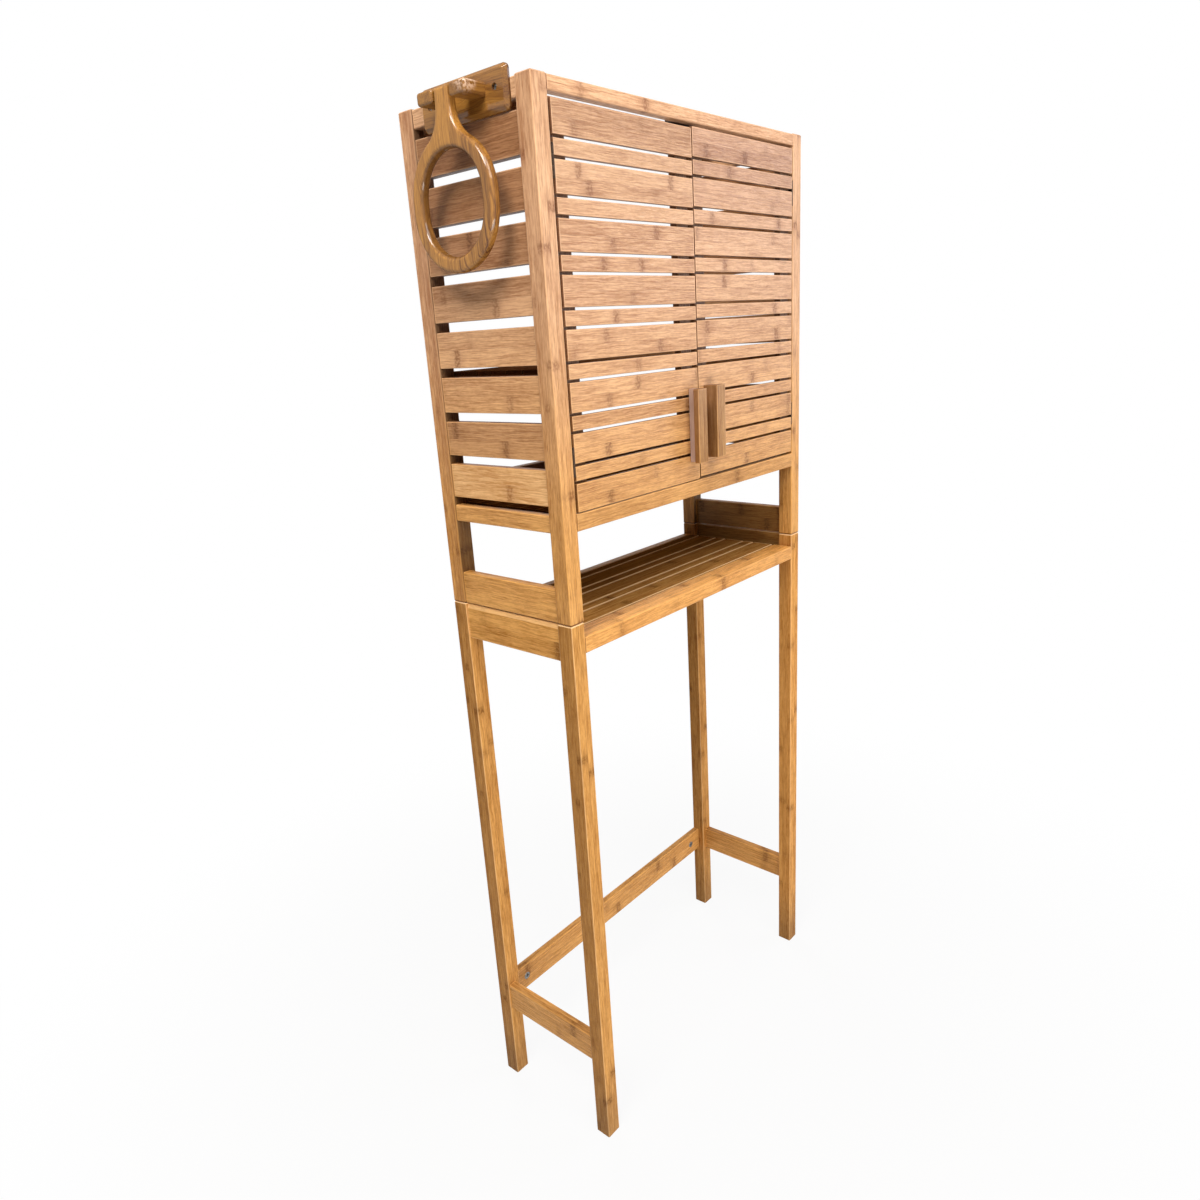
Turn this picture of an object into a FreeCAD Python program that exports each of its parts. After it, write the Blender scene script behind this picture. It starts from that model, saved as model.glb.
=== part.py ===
import FreeCAD, Part
import Sketcher
import math
import os
import re

# Bamboo over-toilet cabinet: a four-legged lower frame with an open shelf, and a slatted
# cabinet with two doors on top of it. A wooden towel ring hangs on the left side.
# Millimetres. X runs to the right, Y to the back, Z up. The origin is on the floor, under
# the middle of the whole part's bounding box.

V = FreeCAD.Vector

# Driving sizes
SIZES = {
    # frame
    "width": 660, "depth": 256, "leg_height": 940, "upper_height": 700,
    "post": 28, "post_round": 2, "post_chamfer": 1.5,
    "rail_thick": 16, "rail_setback": 2.5, "rail_round": 2, "slat_round": 1.2,
    # lower frame
    "side_board_height": 50, "leg_rail_height": 57, "leg_rail_drop": 1, "joint_rail_lift": 0.8,
    "rail_bevel_high": 7, "rail_bevel_deep": 3,
    "stretcher_base": 152, "back_stretcher_thick": 14,
    "shelf_drop": 23, "shelf_board_deep": 40, "shelf_rail_height": 25, "shelf_slat_thick": 10,
    "shelf_gap": 3, "deck_end_gap": 0.5,
    # cabinet carcass
    "bay_height": 133, "bottom_rail_height": 25, "side_top_height": 24, "front_top_height": 18,
    "top_rail_drop": 1, "back_bottom_height": 60, "side_slat_thick": 14, "side_slat_gap": 13,
    "deck_slat_thick": 7, "deck_gap": 2.6, "cleat_thick": 14, "cleat_height": 15,
    "mid_shelf_share": 0.38, "top_slat_wide": 32, "top_slat_thick": 8, "top_slat_drop": 0.5,
    "top_cleat_height": 23.5,
    "deck_front_gap": 3,
    # doors
    "door_side_gap": 4, "door_middle_gap": 3, "left_door_lift": 1.5, "right_door_lift": 4,
    "door_play": 8.5, "door_slat_thick": 6.5, "door_slat_gap": 3.9, "batten_wide": 28,
    "batten_thick": 13, "batten_short": 6, "inner_batten_inset": 5,
    # grips
    "grip_length": 114, "grip_inset": 14, "stem_wide": 13, "stem_deep": 16,
    "cap_wide": 24, "cap_thick": 10, "grip_round": 1.5,
    "screw_hole": 4.4, "screw_shank": 4, "screw_head": 8, "screw_head_thick": 2.4, "screw_bite": 10,
    # hinges
    "hinge_height": 40, "hinge_from_end": 70, "knuckle": 3.4, "hinge_pin": 1.8, "pin_play": 0.05,
    "leaf_thick": 1, "leaf_deep": 16, "leaf_start": 2.2, "axis_setback": 1.2, "knuckle_gap": 0.3,
    # door catch
    "catch_wide": 48, "catch_deep": 14, "catch_low": 30, "strike_thick": 0.8, "strike_wide": 16,
    "strike_high": 14, "catch_gap": 0.3,
    # joint hardware
    "dowel": 10, "dowel_length": 60, "dowel_play": 0.1, "cam": 14, "cam_over": 3, "cam_inset": 32,
    "cam_play": 0.1, "bolt": 6, "bolt_grip": 12, "cam_slot_wide": 2, "cam_slot_deep": 2,
    "wall_hole": 5.5, "wall_hole_span": 400,
    # towel ring
    "plate_long": 164, "plate_high": 52, "plate_thick": 8, "plate_bevel": 5, "plate_corner": 7,
    "plate_centre_back": -9, "plate_base_drop": 37, "arm_out": 35, "arm_wide": 30, "arm_high": 16,
    "arm_round": 4, "arm_rise": 21, "neck_wide": 28, "neck_gap": 2, "ring_thick": 16,
    "ring_round": 6, "ring_bore": 116, "ring_bar": 20, "ring_straight": 12, "ring_drop": 126,
    "neck_over": 8, "neck_curve": 45, "ring_pin": 5, "pin_bite": 18, "plate_screw_span": 124,
    "plate_screw_rise": 28, "plate_hole": 4.5, "plate_screw": 4.2, "plate_screw_head": 8,
    "plate_sink": 3, "plate_sink_play": 0.3,
}

# Places and sizes that follow from the driving ones
PLAN = {
    "half_width": "width/2", "half_depth": "depth/2", "height": "leg_height + upper_height",
    "post_x": "half_width - post/2", "post_y": "half_depth - post/2",
    "clear_width": "width - 2*post", "clear_depth": "depth - 2*post",
    "side_rail_x": "half_width - rail_setback - rail_thick/2",
    "side_inner_x": "half_width - rail_setback - rail_thick",
    "front_rail_y": "half_depth - rail_thick/2", "inside_depth": "depth - 2*rail_thick",
    "shift_x": "(plate_thick + arm_out - rail_setback)/2", "shift_y": "(stem_deep + cap_thick)/2",
    "shelf_top": "leg_height - shelf_drop", "shelf_base": "shelf_top - shelf_rail_height",
    "shelf_front_y": "shelf_board_deep - half_depth", "shelf_back_y": "half_depth - rail_thick",
    "shelf_narrow": "(shelf_back_y - shelf_front_y - 7*shelf_gap)/9",
    "cabinet_base": "leg_height + bay_height", "floor_top": "cabinet_base + bottom_rail_height",
    "rail_top": "height - top_rail_drop", "side_top_base": "rail_top - side_top_height",
    "front_top_base": "rail_top - front_top_height", "slat_zone": "side_top_base - floor_top",
    "side_slat_high": "(slat_zone - 9*side_slat_gap)/8",
    "mid_shelf_top": "floor_top + mid_shelf_share*slat_zone",
    "top_slat_top": "rail_top - top_slat_drop",
    "top_gap": "(inside_depth - 2*top_slat_wide)/3",
    "deck_front_y": "door_slat_thick + batten_thick + strike_thick + deck_front_gap - half_depth",
    "door_height": "front_top_base - floor_top - door_play",
    "door_width": "(clear_width - 2*door_side_gap - door_middle_gap)/2",
    "door_narrow": "(door_height - 14*door_slat_gap)/23", "door_wide": "2*door_narrow",
    "grip_low": "door_wide + door_slat_gap + door_narrow/2",
    "grip_high": "2*door_wide + 3*door_slat_gap + 3*door_narrow/2",
    "grip_lift": "(grip_low + grip_high - grip_length)/2",
    "hinge_x": "clear_width/2 - door_side_gap/2", "hinge_y": "axis_setback - half_depth",
    "pin_bore": "hinge_pin + 2*pin_play", "knuckle_long": "(hinge_height - 2*knuckle_gap)/3",
    "batten_back_y": "door_slat_thick + batten_thick - half_depth",
    "plate_base_z": "height - plate_base_drop", "plate_face_x": "half_width - rail_setback + plate_thick",
    "arm_base_z": "plate_base_z + arm_rise", "pin_z": "arm_base_z + arm_high/2",
    "ring_x": "plate_face_x + arm_out - ring_thick/2", "ring_z": "pin_z - ring_drop",
    "arm_centre_off": "neck_wide/2 + neck_gap + arm_wide/2",
}

doc = FreeCAD.newDocument("BambooCabinet")
nodes = []


def full(expr):
    """Put each size's sheet in front of its name."""
    def named(match):
        word = match.group(0)
        if word in SIZES:
            return "Sizes." + word
        return "Plan." + word if word in PLAN else word
    return re.sub(r"[a-z]\w*", named, str(expr))


def fill_sheet(name, entries):
    sheet = doc.addObject("Spreadsheet::Sheet", name)
    for row, (alias, text) in enumerate(entries.items(), 1):
        cell = "A%d" % row
        sheet.set(cell, text)
        sheet.setAlias(cell, alias)
    doc.recompute()
    return sheet


sizes = fill_sheet("Sizes", {alias: str(number) for alias, number in SIZES.items()})
plan = fill_sheet("Plan", {alias: "=" + full(rule) for alias, rule in PLAN.items()})


def bind(thing, prop, expr):
    thing.setExpression(prop, full(expr))


def place(thing, x, y, z):
    bind(thing, "Placement.Base.x", "%s + shift_x" % x)
    bind(thing, "Placement.Base.y", "%s + shift_y" % y)
    bind(thing, "Placement.Base.z", z)


def keep(thing, label):
    thing.Label = label
    nodes.append(thing)
    return thing


# Sketches, pads and cuts
def new_sketch(body, role, offset="0"):
    sketch = body.newObject("Sketcher::SketchObject", "Sketch")
    face = [item for item in body.Origin.OriginFeatures if item.Role == role][0]
    sketch.AttachmentSupport = [(face, "")]
    sketch.MapMode = "FlatFace"
    bind(sketch, "AttachmentOffset.Base.z", offset)
    return sketch


def fix_point(sketch, geometry, point, x, y):
    for kind, expr in (("DistanceX", x), ("DistanceY", y)):
        row = sketch.addConstraint(Sketcher.Constraint(kind, -1, 1, geometry, point, 1.0))
        bind(sketch, "Constraints[%d]" % row, expr)


def add_loop(sketch, corners):
    """A closed outline whose corners are driven by the sheets."""
    first = sketch.GeometryCount
    count = len(corners)
    turns = [2 * math.pi * i / count for i in range(count)]
    points = [V(math.cos(turn), math.sin(turn), 0) for turn in turns]
    for i in range(count):
        sketch.addGeometry(Part.LineSegment(points[i], points[(i + 1) % count]), False)
    for i in range(count):
        follower = first + (i + 1) % count
        sketch.addConstraint(Sketcher.Constraint("Coincident", first + i, 2, follower, 1))
    for i, (x, y) in enumerate(corners):
        fix_point(sketch, first + i, 1, x, y)


def add_circle(sketch, x, y, diameter):
    circle = sketch.addGeometry(Part.Circle(V(1, 1, 0), V(0, 0, 1), 1), False)
    fix_point(sketch, circle, 3, x, y)
    row = sketch.addConstraint(Sketcher.Constraint("Radius", circle, 1.0))
    bind(sketch, "Constraints[%d]" % row, "(%s)/2" % diameter)


def box_corners(x0, x1, y0, y1):
    return [(x0, y0), (x1, y0), (x1, y1), (x0, y1)]


def centred(wide, high):
    return box_corners("-(%s)/2" % wide, "(%s)/2" % wide, "-(%s)/2" % high, "(%s)/2" % high)


def pad(body, sketch, length, midplane=False):
    feature = body.newObject("PartDesign::Pad", "Pad")
    feature.Profile = sketch
    feature.Midplane = midplane
    bind(feature, "Length", length)
    doc.recompute()
    return feature


def pocket(body, sketch, depth):
    """Cut a sketch into the body, turning the cut round if it points out of the solid."""
    before = body.Shape.Volume
    feature = body.newObject("PartDesign::Pocket", "Pocket")
    feature.Profile = sketch
    bind(feature, "Length", depth)
    doc.recompute()
    if body.Shape.Volume >= before * (1 - 1e-9):
        feature.Reversed = True
        doc.recompute()
    return feature


def edges_along(shape, axis):
    names = []
    for number, edge in enumerate(shape.Edges, 1):
        if edge.Curve.TypeId == "Part::GeomLine" and abs(edge.Curve.Direction.dot(axis)) > 0.999:
            names.append("Edge%d" % number)
    return names


def edges_at_end(shape, height):
    names = []
    for number, edge in enumerate(shape.Edges, 1):
        box = edge.BoundBox
        if abs(box.ZMin - height) < 1e-6 and abs(box.ZMax - height) < 1e-6:
            names.append("Edge%d" % number)
    return names


AXES = {"x": V(1, 0, 0), "y": V(0, 1, 0), "z": V(0, 0, 1)}


def soften(body, edges, radius, kind="Fillet"):
    base = body.Tip
    feature = body.newObject("PartDesign::" + kind, kind)
    feature.Base = (base, edges)
    bind(feature, "Radius" if kind == "Fillet" else "Size", radius)
    doc.recompute()
    return feature


def new_body(label, listed=True):
    body = doc.addObject("PartDesign::Body", label)
    if listed:
        keep(body, label)
    return body


def board(label, size, at, along, radius="rail_round", listed=True):
    """A plain piece centred on its place in X and Y, standing on Z, eased along one axis."""
    body = new_body(label, listed)
    sketch = new_sketch(body, "XY_Plane")
    add_loop(sketch, centred(size[0], size[1]))
    pad(body, sketch, size[2])
    soften(body, edges_along(body.Shape, AXES[along]), radius)
    place(body, *at)
    return body


def slat_row(label, role, rows, length, at, along, radius="slat_round"):
    """Parallel slats in one node: each row is the slat's two ends in both sketch directions."""
    body = new_body(label)
    sketch = new_sketch(body, role)
    for row in rows:
        add_loop(sketch, box_corners(*row))
    pad(body, sketch, length, midplane=True)
    soften(body, edges_along(body.Shape, AXES[along]), radius)
    place(body, *at)
    return body


def group(label, members):
    compound = doc.addObject("Part::Compound", label)
    compound.Links = members
    return keep(compound, label)


SIDES = (("left", "-"), ("right", ""))
ENDS = (("front", "-"), ("back", ""))


def inward(sign):
    return "" if sign else "-"


# Legs and posts
def bore_inner_face(body, sign, places):
    """Blind holes for cam bolts in the face that looks to the cabinet's middle."""
    sketch = new_sketch(body, "YZ_Plane", "%spost/2" % inward(sign))
    for y, z in places:
        add_circle(sketch, y, z, "bolt + 2*cam_play")
    pocket(body, sketch, "bolt_grip")


def upright(label, sign_x, sign_y, base, length, dowel_end, bolts):
    body = new_body(label)
    sketch = new_sketch(body, "XY_Plane")
    add_loop(sketch, centred("post", "post"))
    pad(body, sketch, length)
    soften(body, edges_along(body.Shape, AXES["z"]), "post_round")
    top = body.Shape.BoundBox.ZMax
    ends = edges_at_end(body.Shape, 0) + edges_at_end(body.Shape, top)
    soften(body, ends, "post_chamfer", "Chamfer")
    hole = new_sketch(body, "XY_Plane", length if dowel_end else "0")
    add_circle(hole, "0", "0", "dowel + 2*dowel_play")
    pocket(body, hole, "dowel_length/2")
    bore_inner_face(body, sign_x, bolts)
    place(body, "%spost_x" % sign_x, "%spost_y" % sign_y, base)


RAIL_OFF = "(post - rail_thick)/2"
LEG_BOLTS = {
    "front": [],
    "back": [("(post - back_stretcher_thick)/2", "stretcher_base + side_board_height/2"),
             (RAIL_OFF, "shelf_base + shelf_rail_height/2")],
}
POST_BOLTS = {
    "front": [("-" + RAIL_OFF, "bay_height + bottom_rail_height/2"),
              ("-" + RAIL_OFF, "front_top_base + front_top_height/2 - leg_height")],
    "back": [(RAIL_OFF, "bay_height + back_bottom_height/2"),
             (RAIL_OFF, "side_top_base + side_top_height/2 - leg_height")],
}
LEG_BOLTS["front"].append(("shelf_board_deep/2 - post/2", "shelf_base + shelf_rail_height/2"))
for side, sx in SIDES:
    for end, sy in ENDS:
        upright("leg_%s_%s" % (end, side), sx, sy, "0", "leg_height", True, LEG_BOLTS[end])
        upright("post_%s_%s" % (end, side), sx, sy, "leg_height", "upper_height", False, POST_BOLTS[end])

# Rails that run from front to back on each side
def leg_rail(label, sx):
    """The legs' upper rail, with a wide bevel along its outer top edge."""
    body = new_body(label)
    sketch = new_sketch(body, "XZ_Plane")
    outer = sx + "rail_thick/2"
    inner = inward(sx) + "rail_thick/2"
    add_loop(sketch, [(inner, "0"), (outer, "0"), (outer, "leg_rail_height - rail_bevel_high"),
                      ("%s(rail_thick/2 - rail_bevel_deep)" % sx, "leg_rail_height"), (inner, "leg_rail_height")])
    pad(body, sketch, "clear_depth", midplane=True)
    soften(body, edges_along(body.Shape, AXES["y"]), "slat_round")
    place(body, sx + "side_rail_x", "0", "leg_height - leg_rail_drop - leg_rail_height")


for side, sx in SIDES:
    leg_rail("leg_rail_%s" % side, sx)

SIDE_RAILS = (
    ("side_stretcher", "stretcher_base", "side_board_height"),
    ("joint_rail", "leg_height + joint_rail_lift", "side_board_height"),
    ("side_bottom_rail", "cabinet_base", "bottom_rail_height"),
    ("side_top_rail", "side_top_base", "side_top_height"),
)
for side, sx in SIDES:
    for name, base, high in SIDE_RAILS:
        rail = board("%s_%s" % (name, side), ("rail_thick", "clear_depth", high),
                     (sx + "side_rail_x", "0", base), "y")
        if rail.Label == "side_top_rail_left":
            bores = new_sketch(rail, "YZ_Plane", "-rail_thick/2")
            for sy in ("-", "+"):
                add_circle(bores, "plate_centre_back %s plate_screw_span/2" % sy,
                           "plate_base_z + plate_screw_rise - side_top_base", "plate_hole")
            pocket(rail, bores, "screw_bite")

# Rails that run from left to right, held by cam locks
cam_places = []


def cross_rail(label, high, thick, y, base, cam_face):
    """cam_face is the face, front, back or below, that the cams are pressed into."""
    body = board(label, ("clear_width", thick, high), ("0", y, base), "x")
    if cam_face == "below":
        cams = new_sketch(body, "XY_Plane")
    else:
        cams = new_sketch(body, "XZ_Plane", "%s(%s)/2" % ("-" if cam_face == "back" else "", thick))
    half = "(%s)/2" % (high if cam_face == "below" else thick)
    for sign in ("-", ""):
        add_circle(cams, "%s(clear_width/2 - cam_inset)" % sign,
                   "0" if cam_face == "below" else "(%s)/2" % high, "cam + 2*cam_play")
    pocket(body, cams, half + " + cam_over")
    for sign in ("-", ""):
        bore = new_sketch(body, "YZ_Plane", "%sclear_width/2" % sign)
        add_circle(bore, "0", "(%s)/2" % high, "bolt + 2*cam_play")
        pocket(body, bore, "cam_inset")
        cam_places.append((sign, y, "%s + (%s)/2" % (base, high), half, cam_face))
    return body


cross_rail("back_stretcher", "side_board_height", "back_stretcher_thick",
           "(half_depth - back_stretcher_thick/2)", "stretcher_base", "front")
cross_rail("shelf_back_rail", "shelf_rail_height", "rail_thick", "front_rail_y", "shelf_base", "front")
cross_rail("shelf_front_board", "shelf_rail_height", "shelf_board_deep",
           "(shelf_board_deep/2 - half_depth)", "shelf_base", "below")
cross_rail("front_bottom_rail", "bottom_rail_height", "rail_thick", "-front_rail_y", "cabinet_base", "back")
cross_rail("front_top_rail", "front_top_height", "rail_thick", "-front_rail_y", "front_top_base", "back")
cross_rail("back_bottom_rail", "back_bottom_height", "rail_thick", "front_rail_y", "cabinet_base", "front")
back_top = cross_rail("back_top_rail", "side_top_height", "rail_thick", "front_rail_y", "side_top_base", "front")
wall_holes = new_sketch(back_top, "XZ_Plane", "rail_thick/2")
for sign in ("-", ""):
    add_circle(wall_holes, sign + "wall_hole_span/2", "side_top_height/2", "wall_hole")
pocket(back_top, wall_holes, "rail_thick")

# Slats of the two sides
for side, sx in SIDES:
    rows = []
    for i in range(8):
        low = "%d*(side_slat_high + side_slat_gap) + side_slat_gap" % i
        rows.append(("-side_slat_thick/2", "side_slat_thick/2", low, low + " + side_slat_high"))
    slat_row("side_slats_" + side, "XZ_Plane", rows, "clear_depth",
             (sx + "(half_width - rail_setback - side_slat_thick/2)", "0", "floor_top"), "y")


# Decks: slats that run from left to right on a cleat at each side
def cleats(label, x_off, y, length, top, high="cleat_height"):
    pair = []
    for side, sx in SIDES:
        pair.append(board("%s_%s" % (label, side), ("cleat_thick", length, high),
                          ("%s(%s - cleat_thick/2)" % (sx, x_off), y, "%s - %s" % (top, high)),
                          "y", listed=False))
    group(label, pair)


def even_rows(count, wide, gap, thick):
    rows = []
    for i in range(count):
        low = "%d*(%s + %s)" % (i, wide, gap)
        rows.append((low, "%s + %s" % (low, wide), "-" + thick, "0"))
    return rows


DECK_LONG = "clear_width - 2*deck_end_gap"
SHELF_ORDER = (2, 1, 2, 1, 2, 1)
shelf_rows = []
shelf_at = "shelf_gap"
for units in SHELF_ORDER:
    shelf_rows.append((shelf_at, "%s + %d*shelf_narrow" % (shelf_at, units), "-shelf_slat_thick", "0"))
    shelf_at = "%s + %d*shelf_narrow + shelf_gap" % (shelf_at, units)
slat_row("shelf_slats", "YZ_Plane", shelf_rows, DECK_LONG, ("0", "shelf_front_y", "shelf_top"), "x")
cleats("shelf_cleats", "side_inner_x", "(shelf_front_y + clear_depth/2)/2",
       "clear_depth/2 - shelf_front_y", "shelf_top - shelf_slat_thick")

DECK_WIDE = "((half_depth - rail_thick - %s - 6*deck_gap)/7)"
floor_wide = DECK_WIDE % "(rail_thick - half_depth)"
slat_row("floor_slats", "YZ_Plane", even_rows(7, floor_wide, "deck_gap", "deck_slat_thick"), DECK_LONG,
         ("0", "(rail_thick - half_depth)", "floor_top"), "x")
cleats("floor_cleats", "side_inner_x", "0", "clear_depth", "floor_top - deck_slat_thick")
shelf_wide = DECK_WIDE % "deck_front_y"
slat_row("mid_shelf_slats", "YZ_Plane", even_rows(7, shelf_wide, "deck_gap", "deck_slat_thick"), DECK_LONG,
         ("0", "deck_front_y", "mid_shelf_top"), "x")
cleats("mid_shelf_cleats", "clear_width/2", "(deck_front_y + half_depth)/2", "half_depth - deck_front_y",
       "mid_shelf_top - deck_slat_thick")
top_rows = [("top_gap + " + row[0], "top_gap + " + row[1], row[2], row[3])
            for row in even_rows(2, "top_slat_wide", "top_gap", "top_slat_thick")]
slat_row("top_slats", "YZ_Plane", top_rows, DECK_LONG, ("0", "(rail_thick - half_depth)", "top_slat_top"), "x")
cleats("top_cleats", "side_inner_x", "0", "clear_depth", "top_slat_top - top_slat_thick", "top_cleat_height")


# Doors: slats on two battens, a grip, and what the hinges and the catch need
def door_rows():
    rows = []
    low = "0"
    for i in range(15):
        wide = "door_narrow" if i % 2 else "door_wide"
        rows.append(("0", "door_slat_thick", low, "%s + %s" % (low, wide)))
        low = "%s + %s + door_slat_gap" % (low, wide)
    return rows


# The grip's two screws go through the middles of two narrow slats
GRIP_SCREWS = ("grip_low - grip_lift", "grip_high - grip_lift")


def grip_body(label, sx, at):
    """An L-shaped pull: a stem on the door and a cap that reaches away from the door's edge."""
    body = new_body(label)
    sketch = new_sketch(body, "XY_Plane")
    front = "-stem_deep - cap_thick"
    add_loop(sketch, [("0", "0"), (sx + "stem_wide", "0"), (sx + "stem_wide", "-stem_deep"),
                      (sx + "cap_wide", "-stem_deep"), (sx + "cap_wide", front), ("0", front)])
    pad(body, sketch, "grip_length")
    soften(body, edges_along(body.Shape, AXES["z"]), "grip_round")
    holes = new_sketch(body, "XZ_Plane")
    for height in GRIP_SCREWS:
        add_circle(holes, sx + "stem_wide/2", height, "screw_hole")
    pocket(body, holes, "screw_bite")
    place(body, *at)


def grip_screws(label, x, low):
    """Pan-head screws that pass through the batten and the slat into the stem."""
    parts = []
    for height in GRIP_SCREWS:
        z = "%s + %s" % (low, height)
        shank = doc.addObject("Part::Cylinder", "Shank")
        bind(shank, "Radius", "screw_shank/2")
        bind(shank, "Height", "door_slat_thick + batten_thick + screw_bite")
        head = doc.addObject("Part::Cylinder", "Head")
        bind(head, "Radius", "screw_head/2")
        bind(head, "Height", "screw_head_thick")
        for piece, y in ((shank, "batten_back_y"), (head, "batten_back_y + screw_head_thick")):
            piece.Placement = FreeCAD.Placement(V(), FreeCAD.Rotation(V(1, 0, 0), 90))
            place(piece, x, y, z)
        screw = doc.addObject("Part::Fuse", "Screw")
        screw.Base = shank
        screw.Tool = head
        parts.append(screw)
    group(label, parts)


def screw_holes_through(body, x, low):
    """Clearance holes for the grip's screws, in the piece's own coordinates."""
    sketch = new_sketch(body, "XZ_Plane")
    for height in GRIP_SCREWS:
        add_circle(sketch, x, "%s + %s" % (low, height), "screw_hole")
    cut = pocket(body, sketch, "door_slat_thick + batten_thick")
    cut.Midplane = True
    bind(cut, "Length", "2*(door_slat_thick + batten_thick)")
    doc.recompute()


door_leaves = {}
for side, sx in SIDES:
    lift = "%s_door_lift" % side
    base = "(floor_top + %s)" % lift
    middle = sx + "(door_middle_gap + door_width)/2"
    slats = slat_row("%s_door_slats" % side, "YZ_Plane", door_rows(), "door_width",
                     (middle, "-half_depth", base), "x")
    grip_x = sx + "grip_inset"
    screw_x = sx + "(grip_inset + stem_wide/2)"
    screw_holes_through(slats, "%s - (%s)" % (screw_x, middle), "grip_lift")
    batten_size = ("batten_wide", "batten_thick", "door_height - 2*batten_short")
    batten_y = "(batten_back_y - batten_thick/2)"
    board("%s_door_outer_batten" % side, batten_size,
          (sx + "(door_middle_gap/2 + door_width - batten_wide/2)", batten_y, base + " + batten_short"), "z",
          "slat_round")
    inner_x = sx + "(inner_batten_inset + door_middle_gap/2 + batten_wide/2)"
    inner = board("%s_door_inner_batten" % side, batten_size, (inner_x, batten_y, base + " + batten_short"),
                  "z", "slat_round")
    screw_holes_through(inner, "%s - (%s)" % (screw_x, inner_x), "grip_lift - batten_short")
    grip_body("%s_door_grip" % side, sx, (grip_x, "-half_depth", base + " + grip_lift"))
    grip_screws("%s_grip_screws" % side, screw_x, base + " + grip_lift")
    board("%s_strike_plate" % side, ("strike_wide", "strike_thick", "strike_high"),
          (sx + "(inner_batten_inset + door_middle_gap/2 + slat_round + strike_wide/2)",
           "(batten_back_y + strike_thick/2)", "front_top_base - catch_low + catch_gap"), "y", "strike_thick")


# Hinges: two leaves with interleaved knuckles on a pin, in the gap beside each door
def leaf(label, plate_side, knuckle_rows):
    """plate_side is the X sign of the plate from the pin; Z is measured from the hinge's middle."""
    body = new_body(label, listed=False)
    outer = plate_side + "door_side_gap/2"
    inner = plate_side + "(door_side_gap/2 - leaf_thick)"
    plate = new_sketch(body, "XY_Plane")
    add_loop(plate, box_corners(outer, inner, "leaf_start", "leaf_start + leaf_deep"))
    pad(body, plate, "hinge_height", midplane=True)
    for middle, length in knuckle_rows:
        for shape in ("tab", "barrel"):
            sketch = new_sketch(body, "XY_Plane", middle)
            if shape == "tab":
                add_loop(sketch, box_corners(outer, inner, "0", "leaf_start"))
            else:
                add_circle(sketch, "0", "0", "knuckle")
            pad(body, sketch, length, midplane=True)
    bore = new_sketch(body, "XY_Plane")
    add_circle(bore, "0", "0", "pin_bore")
    cut = body.newObject("PartDesign::Pocket", "Bore")
    cut.Profile = bore
    cut.Midplane = True
    bind(cut, "Length", "2*hinge_height")
    doc.recompute()
    return body


OUTER_ROWS = [("-(knuckle_long + knuckle_gap)", "knuckle_long"), ("knuckle_long + knuckle_gap", "knuckle_long")]
MIDDLE_ROWS = [("0", "knuckle_long")]
frame_leaves = []
pins = []
for side, sx in SIDES:
    turned = FreeCAD.Rotation(V(0, 1, 0), 0 if sx else 180)
    door_set = []
    for height in ("hinge_from_end", "door_height - hinge_from_end"):
        at = (sx + "hinge_x", "hinge_y", "floor_top + %s_door_lift + %s" % (side, height))
        for plate_side, rows, kept in (("-", OUTER_ROWS, frame_leaves), ("", MIDDLE_ROWS, door_set)):
            one = leaf("Leaf", plate_side, rows)
            one.Placement = FreeCAD.Placement(V(), turned)
            place(one, *at)
            kept.append(one)
        pin = doc.addObject("Part::Cylinder", "Pin")
        bind(pin, "Radius", "hinge_pin/2")
        bind(pin, "Height", "hinge_height")
        place(pin, at[0], at[1], at[2] + " - hinge_height/2")
        pins.append(pin)
    group("%s_hinge_door_leaves" % side, door_set)
group("hinge_frame_leaves", frame_leaves)
group("hinge_pins", pins)

# Magnetic catch behind the front top rail
catch = new_body("door_catch")
profile = new_sketch(catch, "YZ_Plane")
catch_back = "(rail_thick + catch_deep)"
catch_face = "(door_slat_thick + batten_thick + strike_thick + catch_gap)"
add_loop(profile, [("rail_thick", "0"), (catch_face, "0"), (catch_face, "-catch_low"),
                   (catch_back, "-catch_low"), (catch_back, "front_top_height"),
                   ("rail_thick", "front_top_height")])
pad(catch, profile, "catch_wide", midplane=True)
place(catch, "0", "-half_depth", "front_top_base")

# Dowels between the legs and the posts
dowels = []
for side, sx in SIDES:
    for end, sy in ENDS:
        dowel = doc.addObject("Part::Cylinder", "Dowel")
        bind(dowel, "Radius", "dowel/2")
        bind(dowel, "Height", "dowel_length")
        place(dowel, sx + "post_x", sy + "post_y", "leg_height - dowel_length/2")
        dowels.append(dowel)
group("leg_dowels", dowels)

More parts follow.
